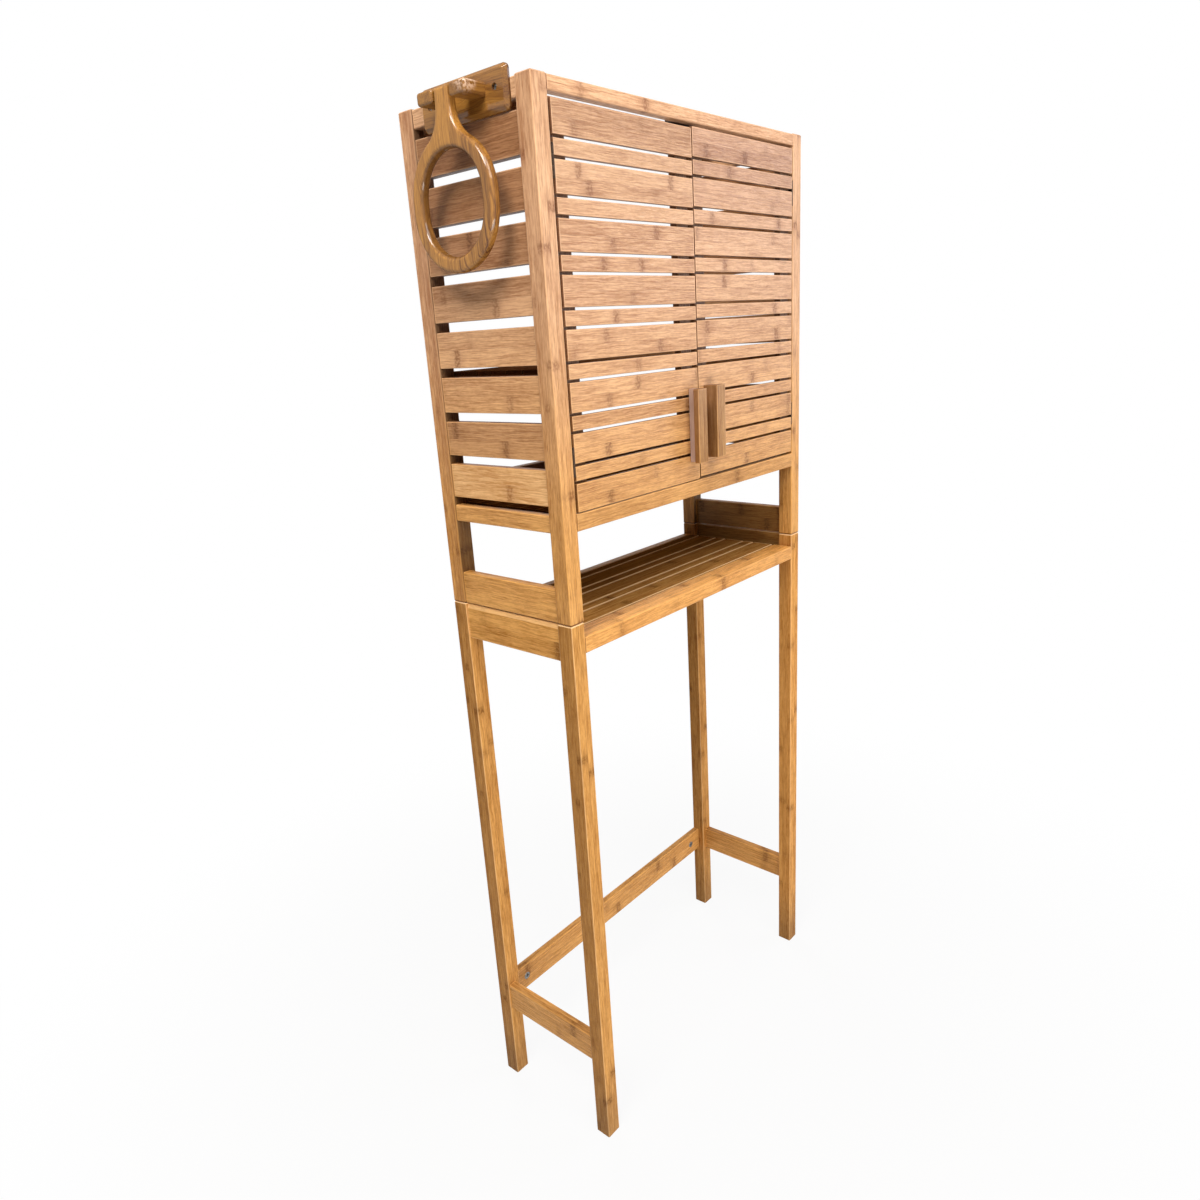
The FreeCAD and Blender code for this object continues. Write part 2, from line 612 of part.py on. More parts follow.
# Cam locks and their bolts
bolts = []
cams = []
CAM_TURNS = {"front": (V(1, 0, 0), -90), "back": (V(1, 0, 0), 90), "below": (V(0, 0, 1), 0)}
for sign, y, z, half, cam_face in cam_places:
    bolt = doc.addObject("Part::Cylinder", "Bolt")
    bind(bolt, "Radius", "bolt/2")
    bind(bolt, "Height", "bolt_grip + cam_inset")
    bolt.Placement = FreeCAD.Placement(V(), FreeCAD.Rotation(V(0, 1, 0), 90))
    start = "-(clear_width/2 + bolt_grip)" if sign else "(clear_width/2 - cam_inset)"
    place(bolt, start, y, z)
    bolts.append(bolt)
    disc = doc.addObject("Part::Cylinder", "Disc")
    bind(disc, "Radius", "cam/2")
    bind(disc, "Height", half + " + cam_over")
    disc.Placement = FreeCAD.Placement(V(), FreeCAD.Rotation(*CAM_TURNS[cam_face]))
    cam_x = "%s(clear_width/2 - cam_inset)" % sign
    face_y = y
    face_z = z
    if cam_face == "below":
        face_z = "%s - %s" % (z, half)
    else:
        face_y = "%s %s %s" % (y, "-" if cam_face == "front" else "+", half)
    place(disc, cam_x, face_y, face_z)
    reach = doc.addObject("Part::Cylinder", "Reach")
    bind(reach, "Radius", "bolt/2 + cam_play")
    bind(reach, "Height", "cam_inset")
    reach.Placement = FreeCAD.Placement(V(), FreeCAD.Rotation(V(0, 1, 0), 90))
    place(reach, "-clear_width/2" if sign else "(clear_width/2 - cam_inset)", y, z)
    slot = doc.addObject("Part::Box", "Slot")
    bind(slot, "Length", "cam")
    thin, deep = ("Width", "Height") if cam_face == "below" else ("Height", "Width")
    bind(slot, deep, "2*cam_slot_deep")
    bind(slot, thin, "cam_slot_wide")
    slot_y, slot_z = ("cam_slot_wide/2", "cam_slot_deep")
    if cam_face != "below":
        slot_y, slot_z = (slot_z, slot_y)
    place(slot, "%s - cam/2" % cam_x, "%s - %s" % (face_y, slot_y), "%s - %s" % (face_z, slot_z))
    cutters = doc.addObject("Part::MultiFuse", "Cutters")
    cutters.Shapes = [reach, slot]
    cam_lock = doc.addObject("Part::Cut", "Cam")
    cam_lock.Base = disc
    cam_lock.Tool = cutters
    cams.append(cam_lock)
group("cam_locks", cams)
group("cam_bolts", bolts)

# Towel ring: bevelled plate, two arms, pin, screws and the ring
plate = new_body("ring_plate")
outline = new_sketch(plate, "YZ_Plane")
add_loop(outline, box_corners("-plate_long/2", "plate_long/2", "0", "plate_high"))
pad(plate, outline, "plate_thick")
soften(plate, edges_along(plate.Shape, AXES["x"]), "plate_corner")
outer_face = [number for number, edge in enumerate(plate.Shape.Edges, 1)
              if edge.BoundBox.XMax < plate.Shape.BoundBox.XMin + 1e-6]
if not outer_face:
    raise RuntimeError("the plate has no outer face")
soften(plate, ["Edge%d" % number for number in outer_face], "plate_bevel", "Chamfer")
PLATE_SCREWS = ("-plate_screw_span/2", "plate_screw_span/2")
for diameter, depth in (("plate_hole", "plate_thick"), ("plate_screw_head + 2*plate_sink_play", "plate_sink")):
    holes = new_sketch(plate, "YZ_Plane")
    for y in PLATE_SCREWS:
        add_circle(holes, y, "plate_screw_rise", diameter)
    pocket(plate, holes, depth)
place(plate, "-plate_face_x", "plate_centre_back", "plate_base_z")

arms = []
for end, sy in ENDS:
    # A block that is rounded on every edge but those on the plate
    arm = new_body("Arm", listed=False)
    outline = new_sketch(arm, "XY_Plane")
    add_loop(outline, centred("arm_out", "arm_wide"))
    pad(arm, outline, "arm_high")
    at_plate = arm.Shape.BoundBox.XMax
    free_edges = ["Edge%d" % number for number, edge in enumerate(arm.Shape.Edges, 1)
                  if edge.BoundBox.XMin < at_plate - 1e-6]
    soften(arm, free_edges, "arm_round")
    place(arm, "-(plate_face_x + arm_out/2)", "plate_centre_back %s arm_centre_off" % (sy or "+"), "arm_base_z")
    bore = new_sketch(arm, "XZ_Plane", "%sarm_wide/2" % sy)
    add_circle(bore, "-(arm_out/2 - ring_thick/2)", "arm_high/2", "ring_pin + 2*pin_play")
    pocket(arm, bore, "pin_bite")
    arms.append(arm)
group("ring_arms", arms)

pin = keep(doc.addObject("Part::Cylinder", "RingPin"), "ring_pin")
bind(pin, "Radius", "ring_pin/2")
bind(pin, "Height", "neck_wide + 2*neck_gap + 2*pin_bite")
pin.Placement = FreeCAD.Placement(V(), FreeCAD.Rotation(V(1, 0, 0), -90))
place(pin, "-ring_x", "plate_centre_back - neck_wide/2 - neck_gap - pin_bite", "pin_z")

ring_screws = []
for y in PLATE_SCREWS:
    shank = doc.addObject("Part::Cylinder", "Shank")
    bind(shank, "Radius", "plate_screw/2")
    bind(shank, "Height", "plate_thick - plate_sink + screw_bite")
    head = doc.addObject("Part::Cylinder", "Head")
    bind(head, "Radius", "plate_screw_head/2")
    bind(head, "Height", "plate_sink/2")
    for piece, x in ((shank, "-plate_face_x + plate_sink"), (head, "-plate_face_x + plate_sink/2")):
        piece.Placement = FreeCAD.Placement(V(), FreeCAD.Rotation(V(0, 1, 0), 90))
        place(piece, x, "plate_centre_back + " + y, "plate_base_z + plate_screw_rise")
    screw = doc.addObject("Part::Fuse", "Screw")
    screw.Base = shank
    screw.Tool = head
    ring_screws.append(screw)
group("ring_screws", ring_screws)


def size(name):
    return float((sizes if name in SIZES else plan).get(name))


def ring_shape():
    """An oval ring whose outline flows through two hollow curves into a flat neck."""
    inner = size("ring_bore") / 2
    outer = inner + size("ring_bar")
    half = size("ring_straight") / 2
    neck = size("neck_wide") / 2
    hollow = size("neck_curve")
    top = size("ring_drop") + size("neck_over")
    rise = math.sqrt((outer + hollow) ** 2 - (neck + hollow) ** 2)
    share = outer / (outer + hollow)
    meet = ((neck + hollow) * share, half + rise * share)
    lean = math.atan2(meet[1] - half, meet[0])
    dip = math.atan2(meet[1] - half - rise, meet[0] - neck - hollow)
    dip_middle = (dip - math.pi) / 2 if dip > 0 else (dip + 2 * math.pi + math.pi) / 2
    hollow_middle = (neck + hollow + hollow * math.cos(dip_middle), half + rise + hollow * math.sin(dip_middle))
    bow = (outer * math.cos(lean / 2), half + outer * math.sin(lean / 2))

    def at(y, z):
        return V(0, y, z)

    def flip(points):
        return [(-y, z) for y, z in reversed(points)]

    right_hollow = [(neck, half + rise), hollow_middle, meet]
    right_bow = [meet, bow, (outer, half)]
    right_run = [(outer, half), (outer, -half)]
    foot = [(outer, -half), (0, -half - outer), (-outer, -half)]
    spans = [[(neck, top), (neck, half + rise)], right_hollow, right_bow, right_run, foot,
             flip(right_run), flip(right_bow), flip(right_hollow),
             [(-neck, half + rise), (-neck, top)], [(-neck, top), (neck, top)]]
    eye = [[(inner, half), (inner, -half)], [(inner, -half), (0, -half - inner), (-inner, -half)],
           [(-inner, -half), (-inner, half)], [(-inner, half), (0, half + inner), (inner, half)]]
    wires = []
    for loop in (spans, eye):
        edges = []
        for points in loop:
            places = [at(*point) for point in points]
            curve = Part.Arc(*places) if len(places) == 3 else Part.LineSegment(*places)
            edges.append(curve.toShape())
        wires.append(Part.Wire(edges))
    face = Part.Face(wires[0]).cut(Part.Face(wires[1]))
    solid = face.extrude(V(size("ring_thick"), 0, 0)).Solids[0]
    sharp = [edge for edge in solid.Edges if edge.BoundBox.XLength < 1e-6]
    rounded = solid.makeFillet(size("ring_round"), sharp)
    pivot = Part.makeCylinder(size("ring_pin") / 2 + size("pin_play"), size("neck_wide"),
                              V(size("ring_thick") / 2, -neck, size("ring_drop")), V(0, 1, 0))
    return rounded.cut(pivot)


ring = keep(doc.addObject("Part::Feature", "TowelRing"), "towel_ring")
ring.Shape = ring_shape()
place(ring, "-(ring_x + ring_thick/2)", "plate_centre_back", "ring_z")

# Test every object, then write one file for each node
doc.recompute()
for thing in doc.Objects:
    if "Invalid" in thing.State or "Error" in thing.State:
        raise RuntimeError("%s failed: %s" % (thing.Label, thing.State))
os.makedirs("parts", exist_ok=True)
labels = [node.Label for node in nodes]
if len(set(labels)) != len(labels):
    raise RuntimeError("two nodes share a label")
for node in nodes:
    if node.Shape.isNull() or not node.Shape.isValid() or not node.Shape.Solids:
        raise RuntimeError("%s has no valid solid" % node.Label)
for node in nodes:
    node.Shape.exportStep("parts/%s.step" % node.Label)
    print("%-28s %2d solids %10.0f mm3" % (node.Label, len(node.Shape.Solids), node.Shape.Volume))
print("%d nodes" % len(nodes))
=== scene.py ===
# %% [markdown]
# A bamboo storage cabinet on open legs
#
# The CAD model already holds every board, rail, slat, hinge and screw, in metres and in one
# shared frame: X to the right, Y to the wall, Z up. This lesson loads it as a fixed frame and
# gives it what a CAD model lacks: the grain of laminated bamboo, the oiled wood of the towel
# ring, real screw heads, a camera at the photograph's place and a plain studio.

# %% Load the frame
import bpy
import bmesh
import math
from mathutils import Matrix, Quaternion, Vector


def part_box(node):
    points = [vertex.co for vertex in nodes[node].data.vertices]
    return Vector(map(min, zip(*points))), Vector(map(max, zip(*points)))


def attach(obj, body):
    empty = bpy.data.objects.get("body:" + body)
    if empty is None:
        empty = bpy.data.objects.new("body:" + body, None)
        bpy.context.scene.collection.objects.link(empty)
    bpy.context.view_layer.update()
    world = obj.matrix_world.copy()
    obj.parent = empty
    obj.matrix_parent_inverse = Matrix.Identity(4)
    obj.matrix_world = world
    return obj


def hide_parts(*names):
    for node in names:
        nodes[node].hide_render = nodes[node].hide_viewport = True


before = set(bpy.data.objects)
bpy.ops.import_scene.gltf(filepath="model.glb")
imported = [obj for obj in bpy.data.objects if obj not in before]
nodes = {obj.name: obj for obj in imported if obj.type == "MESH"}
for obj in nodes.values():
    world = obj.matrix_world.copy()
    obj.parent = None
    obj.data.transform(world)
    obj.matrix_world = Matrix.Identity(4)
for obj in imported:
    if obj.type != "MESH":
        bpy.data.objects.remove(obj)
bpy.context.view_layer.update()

# %% [markdown]
# The camera
#
# The photograph looks down a little from the front left, with a short lens, so upright posts
# lean apart. A camera can be placed by eye, but the corners of the posts give it exactly: these
# values come from fitting a pinhole camera to them. The lens is given for a square picture.

# %% Camera
EYE = Vector((-1.1476, -0.9219, 1.3371))
AIM = Vector((-0.2452, -0.1150, 0.9636))
ROLL = math.radians(3.64)
FOCAL_PIXELS = 865.9
PICTURE_PIXELS = 1200

camera_data = bpy.data.cameras.new("camera")
camera_data.sensor_fit = "HORIZONTAL"
camera_data.lens = camera_data.sensor_width * FOCAL_PIXELS / PICTURE_PIXELS
camera_data.clip_start = 0.01
camera = bpy.data.objects.new("camera", camera_data)
camera.location = EYE
camera.rotation_mode = "QUATERNION"
camera.rotation_quaternion = (AIM - EYE).to_track_quat("-Z", "Y") @ Quaternion((0, 0, 1), -ROLL)
bpy.context.collection.objects.link(camera)
bpy.context.scene.camera = camera
print("camera lens %.1f mm" % camera_data.lens)

# %% [markdown]
# The studio
#
# Wood shows its colour best under broad soft light from above: the outer faces are clear, and
# the open shelf under the cupboard falls into shade. One large lamp stands in front and a second
# one on the left. A low one in front reaches the undersides of the rails, a weak one on the right
# gives the doors a faint sheen, and one behind, at shelf height, clears up the back without
# reaching the shelf's top. That one is left out of reflections, or it would draw white lines
# along every edge seen against it. The background has to be white without lighting the wood,
# so the floor and the world show white to camera, mirror and glass rays only. Near the object
# the floor mixes in its shaded surface, which keeps the shadow, and further out it turns fully
# white, so no edge of the floor shows.

# %% Node helpers
def add_node(tree, kind, values=None, **settings):
    """Make a shader node, set its options, and link or set its inputs by name or number."""
    item = tree.nodes.new("ShaderNode" + kind)
    for name, value in settings.items():
        setattr(item, name, value)
    for key, value in (values or {}).items():
        if isinstance(value, bpy.types.NodeSocket):
            tree.links.new(value, item.inputs[key])
        else:
            item.inputs[key].default_value = value
    return item


def maths(tree, operation, *values, clamp=False):
    inputs = dict(enumerate(values))
    return add_node(tree, "Math", inputs, operation=operation, use_clamp=clamp).outputs[0]


def ramp(tree, value, low, high, out_low=0.0, out_high=1.0):
    inputs = {"Value": value, "From Min": low, "From Max": high, "To Min": out_low, "To Max": out_high}
    return add_node(tree, "MapRange", inputs, interpolation_type="SMOOTHSTEP").outputs["Result"]


def blend_colour(tree, share, first, second, **settings):
    inputs = {0: share, 6: first, 7: second}
    return add_node(tree, "Mix", inputs, data_type="RGBA", **settings).outputs[2]


def multiply_colour(tree, share, first, second):
    return blend_colour(tree, share, first, second, blend_type="MULTIPLY")


def colour(red, green, blue):
    return (red, green, blue, 1.0)


def new_material(name):
    material = bpy.data.materials.new(name)
    material.use_nodes = True
    material.node_tree.nodes.clear()
    return material, material.node_tree


# %% Floor, world and lamps
WHITE = colour(1.0, 1.0, 1.0)
FLOOR_SIZE = 30.0
FLOOR_SHADE = colour(0.60, 0.60, 0.60)
WHITE_NEAR = 0.91
SHADOW_REACH = (0.35, 1.50)
WORLD_LIGHT = 0.09


def seen_directly(tree):
    """One for rays that show the background: camera, mirror and glass rays."""
    path = add_node(tree, "LightPath").outputs
    seen = maths(tree, "MAXIMUM", path["Is Camera Ray"], path["Is Glossy Ray"])
    return maths(tree, "MAXIMUM", seen, path["Is Transmission Ray"])


floor_mesh = bpy.data.meshes.new("floor")
half = FLOOR_SIZE / 2
floor_corners = [(-half, -half, 0), (half, -half, 0), (half, half, 0), (-half, half, 0)]
floor_mesh.from_pydata(floor_corners, [], [(0, 1, 2, 3)])
floor = bpy.data.objects.new("floor", floor_mesh)
bpy.context.collection.objects.link(floor)
floor_material, tree = new_material("pale_floor")
shaded = add_node(tree, "BsdfDiffuse", {"Color": FLOOR_SHADE}).outputs[0]
glow = add_node(tree, "Emission", {"Color": WHITE, "Strength": 1.0}).outputs[0]
spot = add_node(tree, "TexCoord").outputs["Object"]
away = add_node(tree, "VectorMath", {0: spot}, operation="LENGTH").outputs["Value"]
white_share = ramp(tree, away, SHADOW_REACH[0], SHADOW_REACH[1], WHITE_NEAR, 1.0)
share = maths(tree, "MULTIPLY", seen_directly(tree), white_share)
mixed = add_node(tree, "MixShader", {0: share, 1: shaded, 2: glow}).outputs[0]
add_node(tree, "OutputMaterial", {"Surface": mixed})
floor_mesh.materials.append(floor_material)

world = bpy.data.worlds.new("studio")
world.use_nodes = True
tree = world.node_tree
tree.nodes.clear()
strength = ramp(tree, seen_directly(tree), 0.0, 1.0, WORLD_LIGHT, 1.0)
sky = add_node(tree, "Background", {"Color": WHITE, "Strength": strength}).outputs[0]
add_node(tree, "OutputWorld", {"Surface": sky})
bpy.context.scene.world = world

LAMPS = {
    # name: place, point it faces, width and height, power in watts, colour
    "front_light": ((-0.7, -2.1, 3.4), (0.0, 0.0, 0.7), (2.2, 1.8), 76.0, (1.0, 0.97, 0.93)),
    "low_fill": ((-0.6, -2.1, 0.25), (0.0, 0.0, 1.2), (2.4, 0.8), 34.0, (1.0, 0.97, 0.93)),
    "left_light": ((-2.1, -0.6, 3.5), (-0.3, 0.0, 0.9), (1.2, 1.2), 90.0, (1.0, 0.96, 0.92)),
    "back_light": ((1.3, 2.5, 0.95), (0.1, 0.0, 0.95), (1.6, 1.2), 48.0, (1.0, 0.97, 0.93)),
    "right_sheen": ((2.2, -1.7, 1.75), (0.1, -0.1, 1.4), (1.3, 1.6), 28.0, (0.84, 0.84, 1.0)),
}
for name, (place, target, extent, power, tint) in LAMPS.items():
    lamp_data = bpy.data.lights.new(name, "AREA")
    lamp_data.shape = "RECTANGLE"
    lamp_data.size, lamp_data.size_y = extent
    lamp_data.energy = power
    lamp_data.color = tint
    lamp = bpy.data.objects.new(name, lamp_data)
    lamp.location = place
    lamp.rotation_mode = "QUATERNION"
    lamp.rotation_quaternion = (Vector(target) - Vector(place)).to_track_quat("-Z", "Y")
    lamp.visible_camera = False
    lamp.visible_glossy = name != "back_light"
    bpy.context.collection.objects.link(lamp)
bpy.context.scene.view_settings.view_transform = "Standard"
print("studio with", len(LAMPS), "lamps")

# %% [markdown]
# Where a point lies in its slat
#
# Many nodes hold a whole row of slats in one mesh, wide and narrow in turn. The grain has to
# start afresh in each slat, as it does on boards cut from different culms. The meshes can't
# carry that number, but every row is regular, so a node group can work it out from the
# point's place: how many pairs of slats lie below it, which of the two it is on, and how far
# the point is from that slat's nearer edge.

# %% Group: place in the slat
def new_group(name, inputs, outputs):
    """A shader group with named float or colour sockets. Returns its tree and its input sockets."""
    group = bpy.data.node_groups.new(name, "ShaderNodeTree")
    for label, kind in inputs:
        group.interface.new_socket(label, in_out="INPUT", socket_type="NodeSocket" + kind)
    for label, kind in outputs:
        group.interface.new_socket(label, in_out="OUTPUT", socket_type="NodeSocket" + kind)
    source = group.nodes.new("NodeGroupInput")
    return group, source.outputs


def close_group(group, results):
    sink = group.nodes.new("NodeGroupOutput")
    for label, socket in results.items():
        group.links.new(socket, sink.inputs[label])


def group_node(tree, group, values):
    return add_node(tree, "Group", values, node_tree=group).outputs


def floats(*labels):
    return [(label, "Float") for label in labels]


slat_place, given = new_group(
    "slat_place",
    floats("Across", "Start", "Wide", "Narrow", "Gap"),
    floats("Local", "Slat", "Edge Distance"))
tree = slat_place
from_start = maths(tree, "SUBTRACT", given["Across"], given["Start"])
wide_step = maths(tree, "ADD", given["Wide"], given["Gap"])
pair_step = maths(tree, "ADD", wide_step, maths(tree, "ADD", given["Narrow"], given["Gap"]))
half_gap = maths(tree, "MULTIPLY", given["Gap"], 0.5)
lifted = maths(tree, "ADD", from_start, half_gap)
pair = maths(tree, "FLOOR", maths(tree, "DIVIDE", lifted, pair_step))
in_pair = maths(tree, "SUBTRACT", from_start, maths(tree, "MULTIPLY", pair, pair_step))
second = maths(tree, "GREATER_THAN", maths(tree, "ADD", in_pair, half_gap), wide_step)
local = maths(tree, "SUBTRACT", in_pair, maths(tree, "MULTIPLY", second, wide_step))
number = maths(tree, "ADD", maths(tree, "MULTIPLY", pair, 2.0), second)
narrower = maths(tree, "SUBTRACT", given["Narrow"], given["Wide"])
slat_width = maths(tree, "MULTIPLY_ADD", second, narrower, given["Wide"])
edge_distance = maths(tree, "MINIMUM", local, maths(tree, "SUBTRACT", slat_width, local))
close_group(slat_place, {"Local": local, "Slat": number, "Edge Distance": edge_distance})
print("group", slat_place.name)

# %% [markdown]
# Eased edges
#
# Every board is sanded round at its edges, so the edges catch the light as pale lines, and these highlights
# are painted on. A mask for them could come from the mesh's own curvature, but that needs a dense mesh. On
# a board the edges are the places where two of the three distances to its faces are small at once, so the
# middle one of the three distances is all that the mask needs.

# %% Group: eased edges
FULLY_EASED = 0.25

eased_edge, given = new_group("eased_edge", floats("First", "Second", "Third", "Reach"), floats("Mask"))
tree = eased_edge
lesser = maths(tree, "MINIMUM", given["First"], given["Second"])
greater = maths(tree, "MAXIMUM", given["First"], given["Second"])
middle = maths(tree, "MAXIMUM", lesser, maths(tree, "MINIMUM", greater, given["Third"]))
inside = maths(tree, "DIVIDE", middle, given["Reach"])
close_group(eased_edge, {"Mask": ramp(tree, inside, FULLY_EASED, 1.0, 1.0, 0.0)})
print("group", eased_edge.name)

# %% [markdown]
# Laminated bamboo
#
# Bamboo boards are glued up from split strips, side by side and in layers, and each strip has
# its own tone. An image could show this, but it would repeat and stretch. Here every strip of
# every slat and layer gets a number of its own, and random draws that belong to that number
# give its tone and shift its grain.

# %% Group: bamboo, its strips
SLAT_STEP = 17.0
LAYER_STEP = 5.0
STRIP_MARGIN = 0.001
STRIP_SHIFT = 9.0


def colours(*labels):
    return [(label, "Color") for label in labels]


bamboo, given = new_group(
    "bamboo_grain",
    floats("Along", "Across", "Through", "Slat", "Strip Width", "Layer Thickness", "Seed")
    + floats("Edge", "Side", "End") + colours("Pale", "Deep", "Mark", "Highlight Colour"),
    colours("Color") + floats("Roughness", "Height"))
tree = bamboo
strip_at = maths(tree, "DIVIDE", given["Across"], given["Strip Width"])
strip = maths(tree, "FLOOR", maths(tree, "ADD", strip_at, STRIP_MARGIN))
layer = maths(tree, "FLOOR", maths(tree, "DIVIDE", given["Through"], given["Layer Thickness"]))
piece = maths(tree, "MULTIPLY_ADD", given["Slat"], SLAT_STEP, maths(tree, "MULTIPLY", layer, LAYER_STEP))
piece = maths(tree, "ADD", maths(tree, "ADD", piece, strip), given["Seed"])


def draws(number):
    """Three random values that belong to a number."""
    drawn = add_node(tree, "TexWhiteNoise", {"W": number}, noise_dimensions="1D").outputs["Color"]
    return add_node(tree, "SeparateColor", {"Color": drawn}).outputs


chances = draws(piece)
along = maths(tree, "MULTIPLY_ADD", chances[0], STRIP_SHIFT, given["Along"])
print("group", bamboo.name, "begun")

# %% [markdown]
# Fibres
#
# The fibres of a strip are long, fine and a little wavy. Regular stripes would look printed, so
# they come from noise that is drawn out along the grain, in four sizes that follow the same
# slow waver. Each size has its share of the strip's tone, and a broad cloud keeps long boards
# from looking even.

# %% Bamboo fibres
WAVER_SIZE = (0.040, 0.012)
WAVER_REACH = 0.0055
STRIP_TONE = 0.38
FIBRE_LAYERS = {
    # layer: length and width of a fibre in metres, where its noise turns dark, share of the tone
    "wavy": (0.045, 0.0018, 0.37, 0.63, 0.42),
    "broad": (0.13, 0.0050, 0.36, 0.64, 0.26),
    "fine": (0.018, 0.0007, 0.36, 0.64, 0.28),
    "fleck": (0.0085, 0.0032, 0.38, 0.62, 0.14),
}
CLOUD_LAYER = (0.10, 0.05, 0.30, 0.70)
CLOUD_TONE = 0.20
TONE_SHIFT = 0.38


def noise(tree, place, scale, detail):
    inputs = {"Vector": place, "Scale": scale, "Detail": detail}
    return add_node(tree, "TexNoise", inputs).outputs["Fac"]


def fibres(length, width, side_shift=None, detail=2.0):
    """Noise drawn out along the grain of the group that is being built, in metres."""
    across = given["Across"] if side_shift is None else maths(tree, "ADD", given["Across"], side_shift)
    spot = add_node(tree, "CombineXYZ", {
        "X": maths(tree, "DIVIDE", along, length), "Y": maths(tree, "DIVIDE", across, width),
        "Z": maths(tree, "DIVIDE", given["Through"], width)}).outputs[0]
    return noise(tree, spot, 1.0, detail)


def fibre_layer(length, width, low, high, side_shift=None, detail=2.0):
    """Fibres that turn from nothing to full between two values of their noise."""
    return ramp(tree, fibres(length, width, side_shift, detail), low, high)


def centred(value, size):
    return maths(tree, "MULTIPLY", maths(tree, "SUBTRACT", value, 0.5), size)


waver = centred(fibres(*WAVER_SIZE), WAVER_REACH)
layers = {}
tone = maths(tree, "MULTIPLY", chances[1], STRIP_TONE)
for name, (length, width, low, high, tone_share) in FIBRE_LAYERS.items():
    layers[name] = fibre_layer(length, width, low, high, waver)
    tone = maths(tree, "MULTIPLY_ADD", layers[name], tone_share, tone)
cloud = fibre_layer(*CLOUD_LAYER)
tone = maths(tree, "SUBTRACT", tone, TONE_SHIFT)
tone = maths(tree, "MULTIPLY_ADD", cloud, CLOUD_TONE, tone, clamp=True)
print("fibres in", len(layers), "sizes")

# %% [markdown]
# Rings of the culm
#
# Every couple of hand-widths a strip crosses one of the culm's rings, which shows as a short,
# soft-edged brown patch across it. They could be placed one by one, but there are hundreds. So
# each strip is divided into equal lengths with one ring in each, at a random place and of a
# random strength. Noise makes the patch's outline uneven and breaks it up into dashes, and a
# faint halo lies around it.

# %% Bamboo rings
RING_SPACING = 0.185
RING_STEP = 3.17
RING_PLACES = (0.20, 0.80)
RING_CHANCES = (0.12, 0.95)
RING_STRENGTHS = (0.10, 0.90)
FUZZ_SIZE = (0.011, 0.0024)
FUZZ_REACH = 0.011
DASH_SIZE = (0.0045, 0.0040)
DASH_EDGES = (0.36, 0.64)
BETWEEN_DASHES = 0.50
PATCH_REACH = (0.002, 0.0120)
PATCH_STRENGTH = 0.92
HALO_REACH = 0.026
HALO_STRENGTH = 0.30

ring_at = maths(tree, "DIVIDE", along, RING_SPACING)
ring = maths(tree, "FLOOR", ring_at)
ring_chances = draws(maths(tree, "MULTIPLY_ADD", ring, RING_STEP, piece))
centre = ramp(tree, ring_chances[0], 0.0, 1.0, *RING_PLACES)
offset = maths(tree, "SUBTRACT", maths(tree, "SUBTRACT", ring_at, ring), centre)
fuzz = centred(fibres(*FUZZ_SIZE), FUZZ_REACH)
distance = maths(tree, "ABSOLUTE", maths(tree, "MULTIPLY_ADD", offset, RING_SPACING, fuzz))
dashes = ramp(tree, fibres(*DASH_SIZE), *DASH_EDGES, BETWEEN_DASHES, 1.0)
core = maths(tree, "MULTIPLY", ramp(tree, distance, *PATCH_REACH, PATCH_STRENGTH, 0.0), dashes)
halo = ramp(tree, distance, 0.0, HALO_REACH, HALO_STRENGTH, 0.0)
mark_strength = ramp(tree, ring_chances[1], *RING_CHANCES, *RING_STRENGTHS)
mark = maths(tree, "MULTIPLY", maths(tree, "MAXIMUM", core, halo), mark_strength)
print("a ring every", RING_SPACING, "m or so")

# %% [markdown]
# Colour, gloss and relief
#
# The tone and the rings set the colour. A hair-thin glue line between the strips goes over it, then the
# pale edges, a painted highlight, and the dark sides, a painted shade, and last the cut ends, which are
# darker and show the tube bundles as dots. Roughness and height could have noise of their own, but as
# weighted sums of the same masks they belong to the colour: a ring is duller and lies a little deeper.

# %% Bamboo colour, gloss and relief
SEAM_REACH = (0.0002, 0.0009)
SEAM_STRENGTH = 0.42
BUNDLES_PER_METRE = 900.0
DOT_EDGES = (0.18, 0.42)
BETWEEN_DOTS = 0.60
LACQUER_ROUGHNESS = 0.36
FINE_HEIGHT = 0.60


def add_up(total, parts):
    """A total to which each value is added with its own weight."""
    for value, weight in parts:
        total = maths(tree, "MULTIPLY_ADD", value, weight, total)
    return total


body = blend_colour(tree, tone, given["Pale"], given["Deep"])
body = blend_colour(tree, mark, body, given["Mark"])
seam_distance = maths(tree, "MULTIPLY", maths(tree, "PINGPONG", strip_at, 0.5), given["Strip Width"])
seam = maths(tree, "MULTIPLY", ramp(tree, seam_distance, *SEAM_REACH, SEAM_STRENGTH, 0.0), chances[2])
body = blend_colour(tree, seam, body, given["Mark"])
# The edges get a painted highlight and the sides a painted shade
body = blend_colour(tree, given["Edge"], body, given["Highlight Colour"])
body = blend_colour(tree, given["Side"], body, given["Mark"])

section = add_node(tree, "CombineXYZ", {"X": given["Across"], "Y": given["Through"]}).outputs[0]
bundle_inputs = {"Vector": section, "Scale": BUNDLES_PER_METRE}
bundles = add_node(tree, "TexVoronoi", bundle_inputs, voronoi_dimensions="2D").outputs["Distance"]
dots = ramp(tree, bundles, *DOT_EDGES, 1.0, BETWEEN_DOTS)
body = blend_colour(tree, maths(tree, "MULTIPLY", given["End"], dots), body, given["Mark"])

rough = add_up(LACQUER_ROUGHNESS, [
    (layers["fine"], 0.10), (mark, 0.12), (given["Edge"], -0.10), (given["End"], 0.15)])
height = maths(tree, "MULTIPLY", layers["fine"], FINE_HEIGHT)
height = add_up(height, [(layers["wavy"], 0.40), (core, -0.5), (seam, -1.5)])
close_group(bamboo, {"Color": body, "Roughness": rough, "Height": height})
print("group", bamboo.name, "with", len(bamboo.nodes), "nodes")
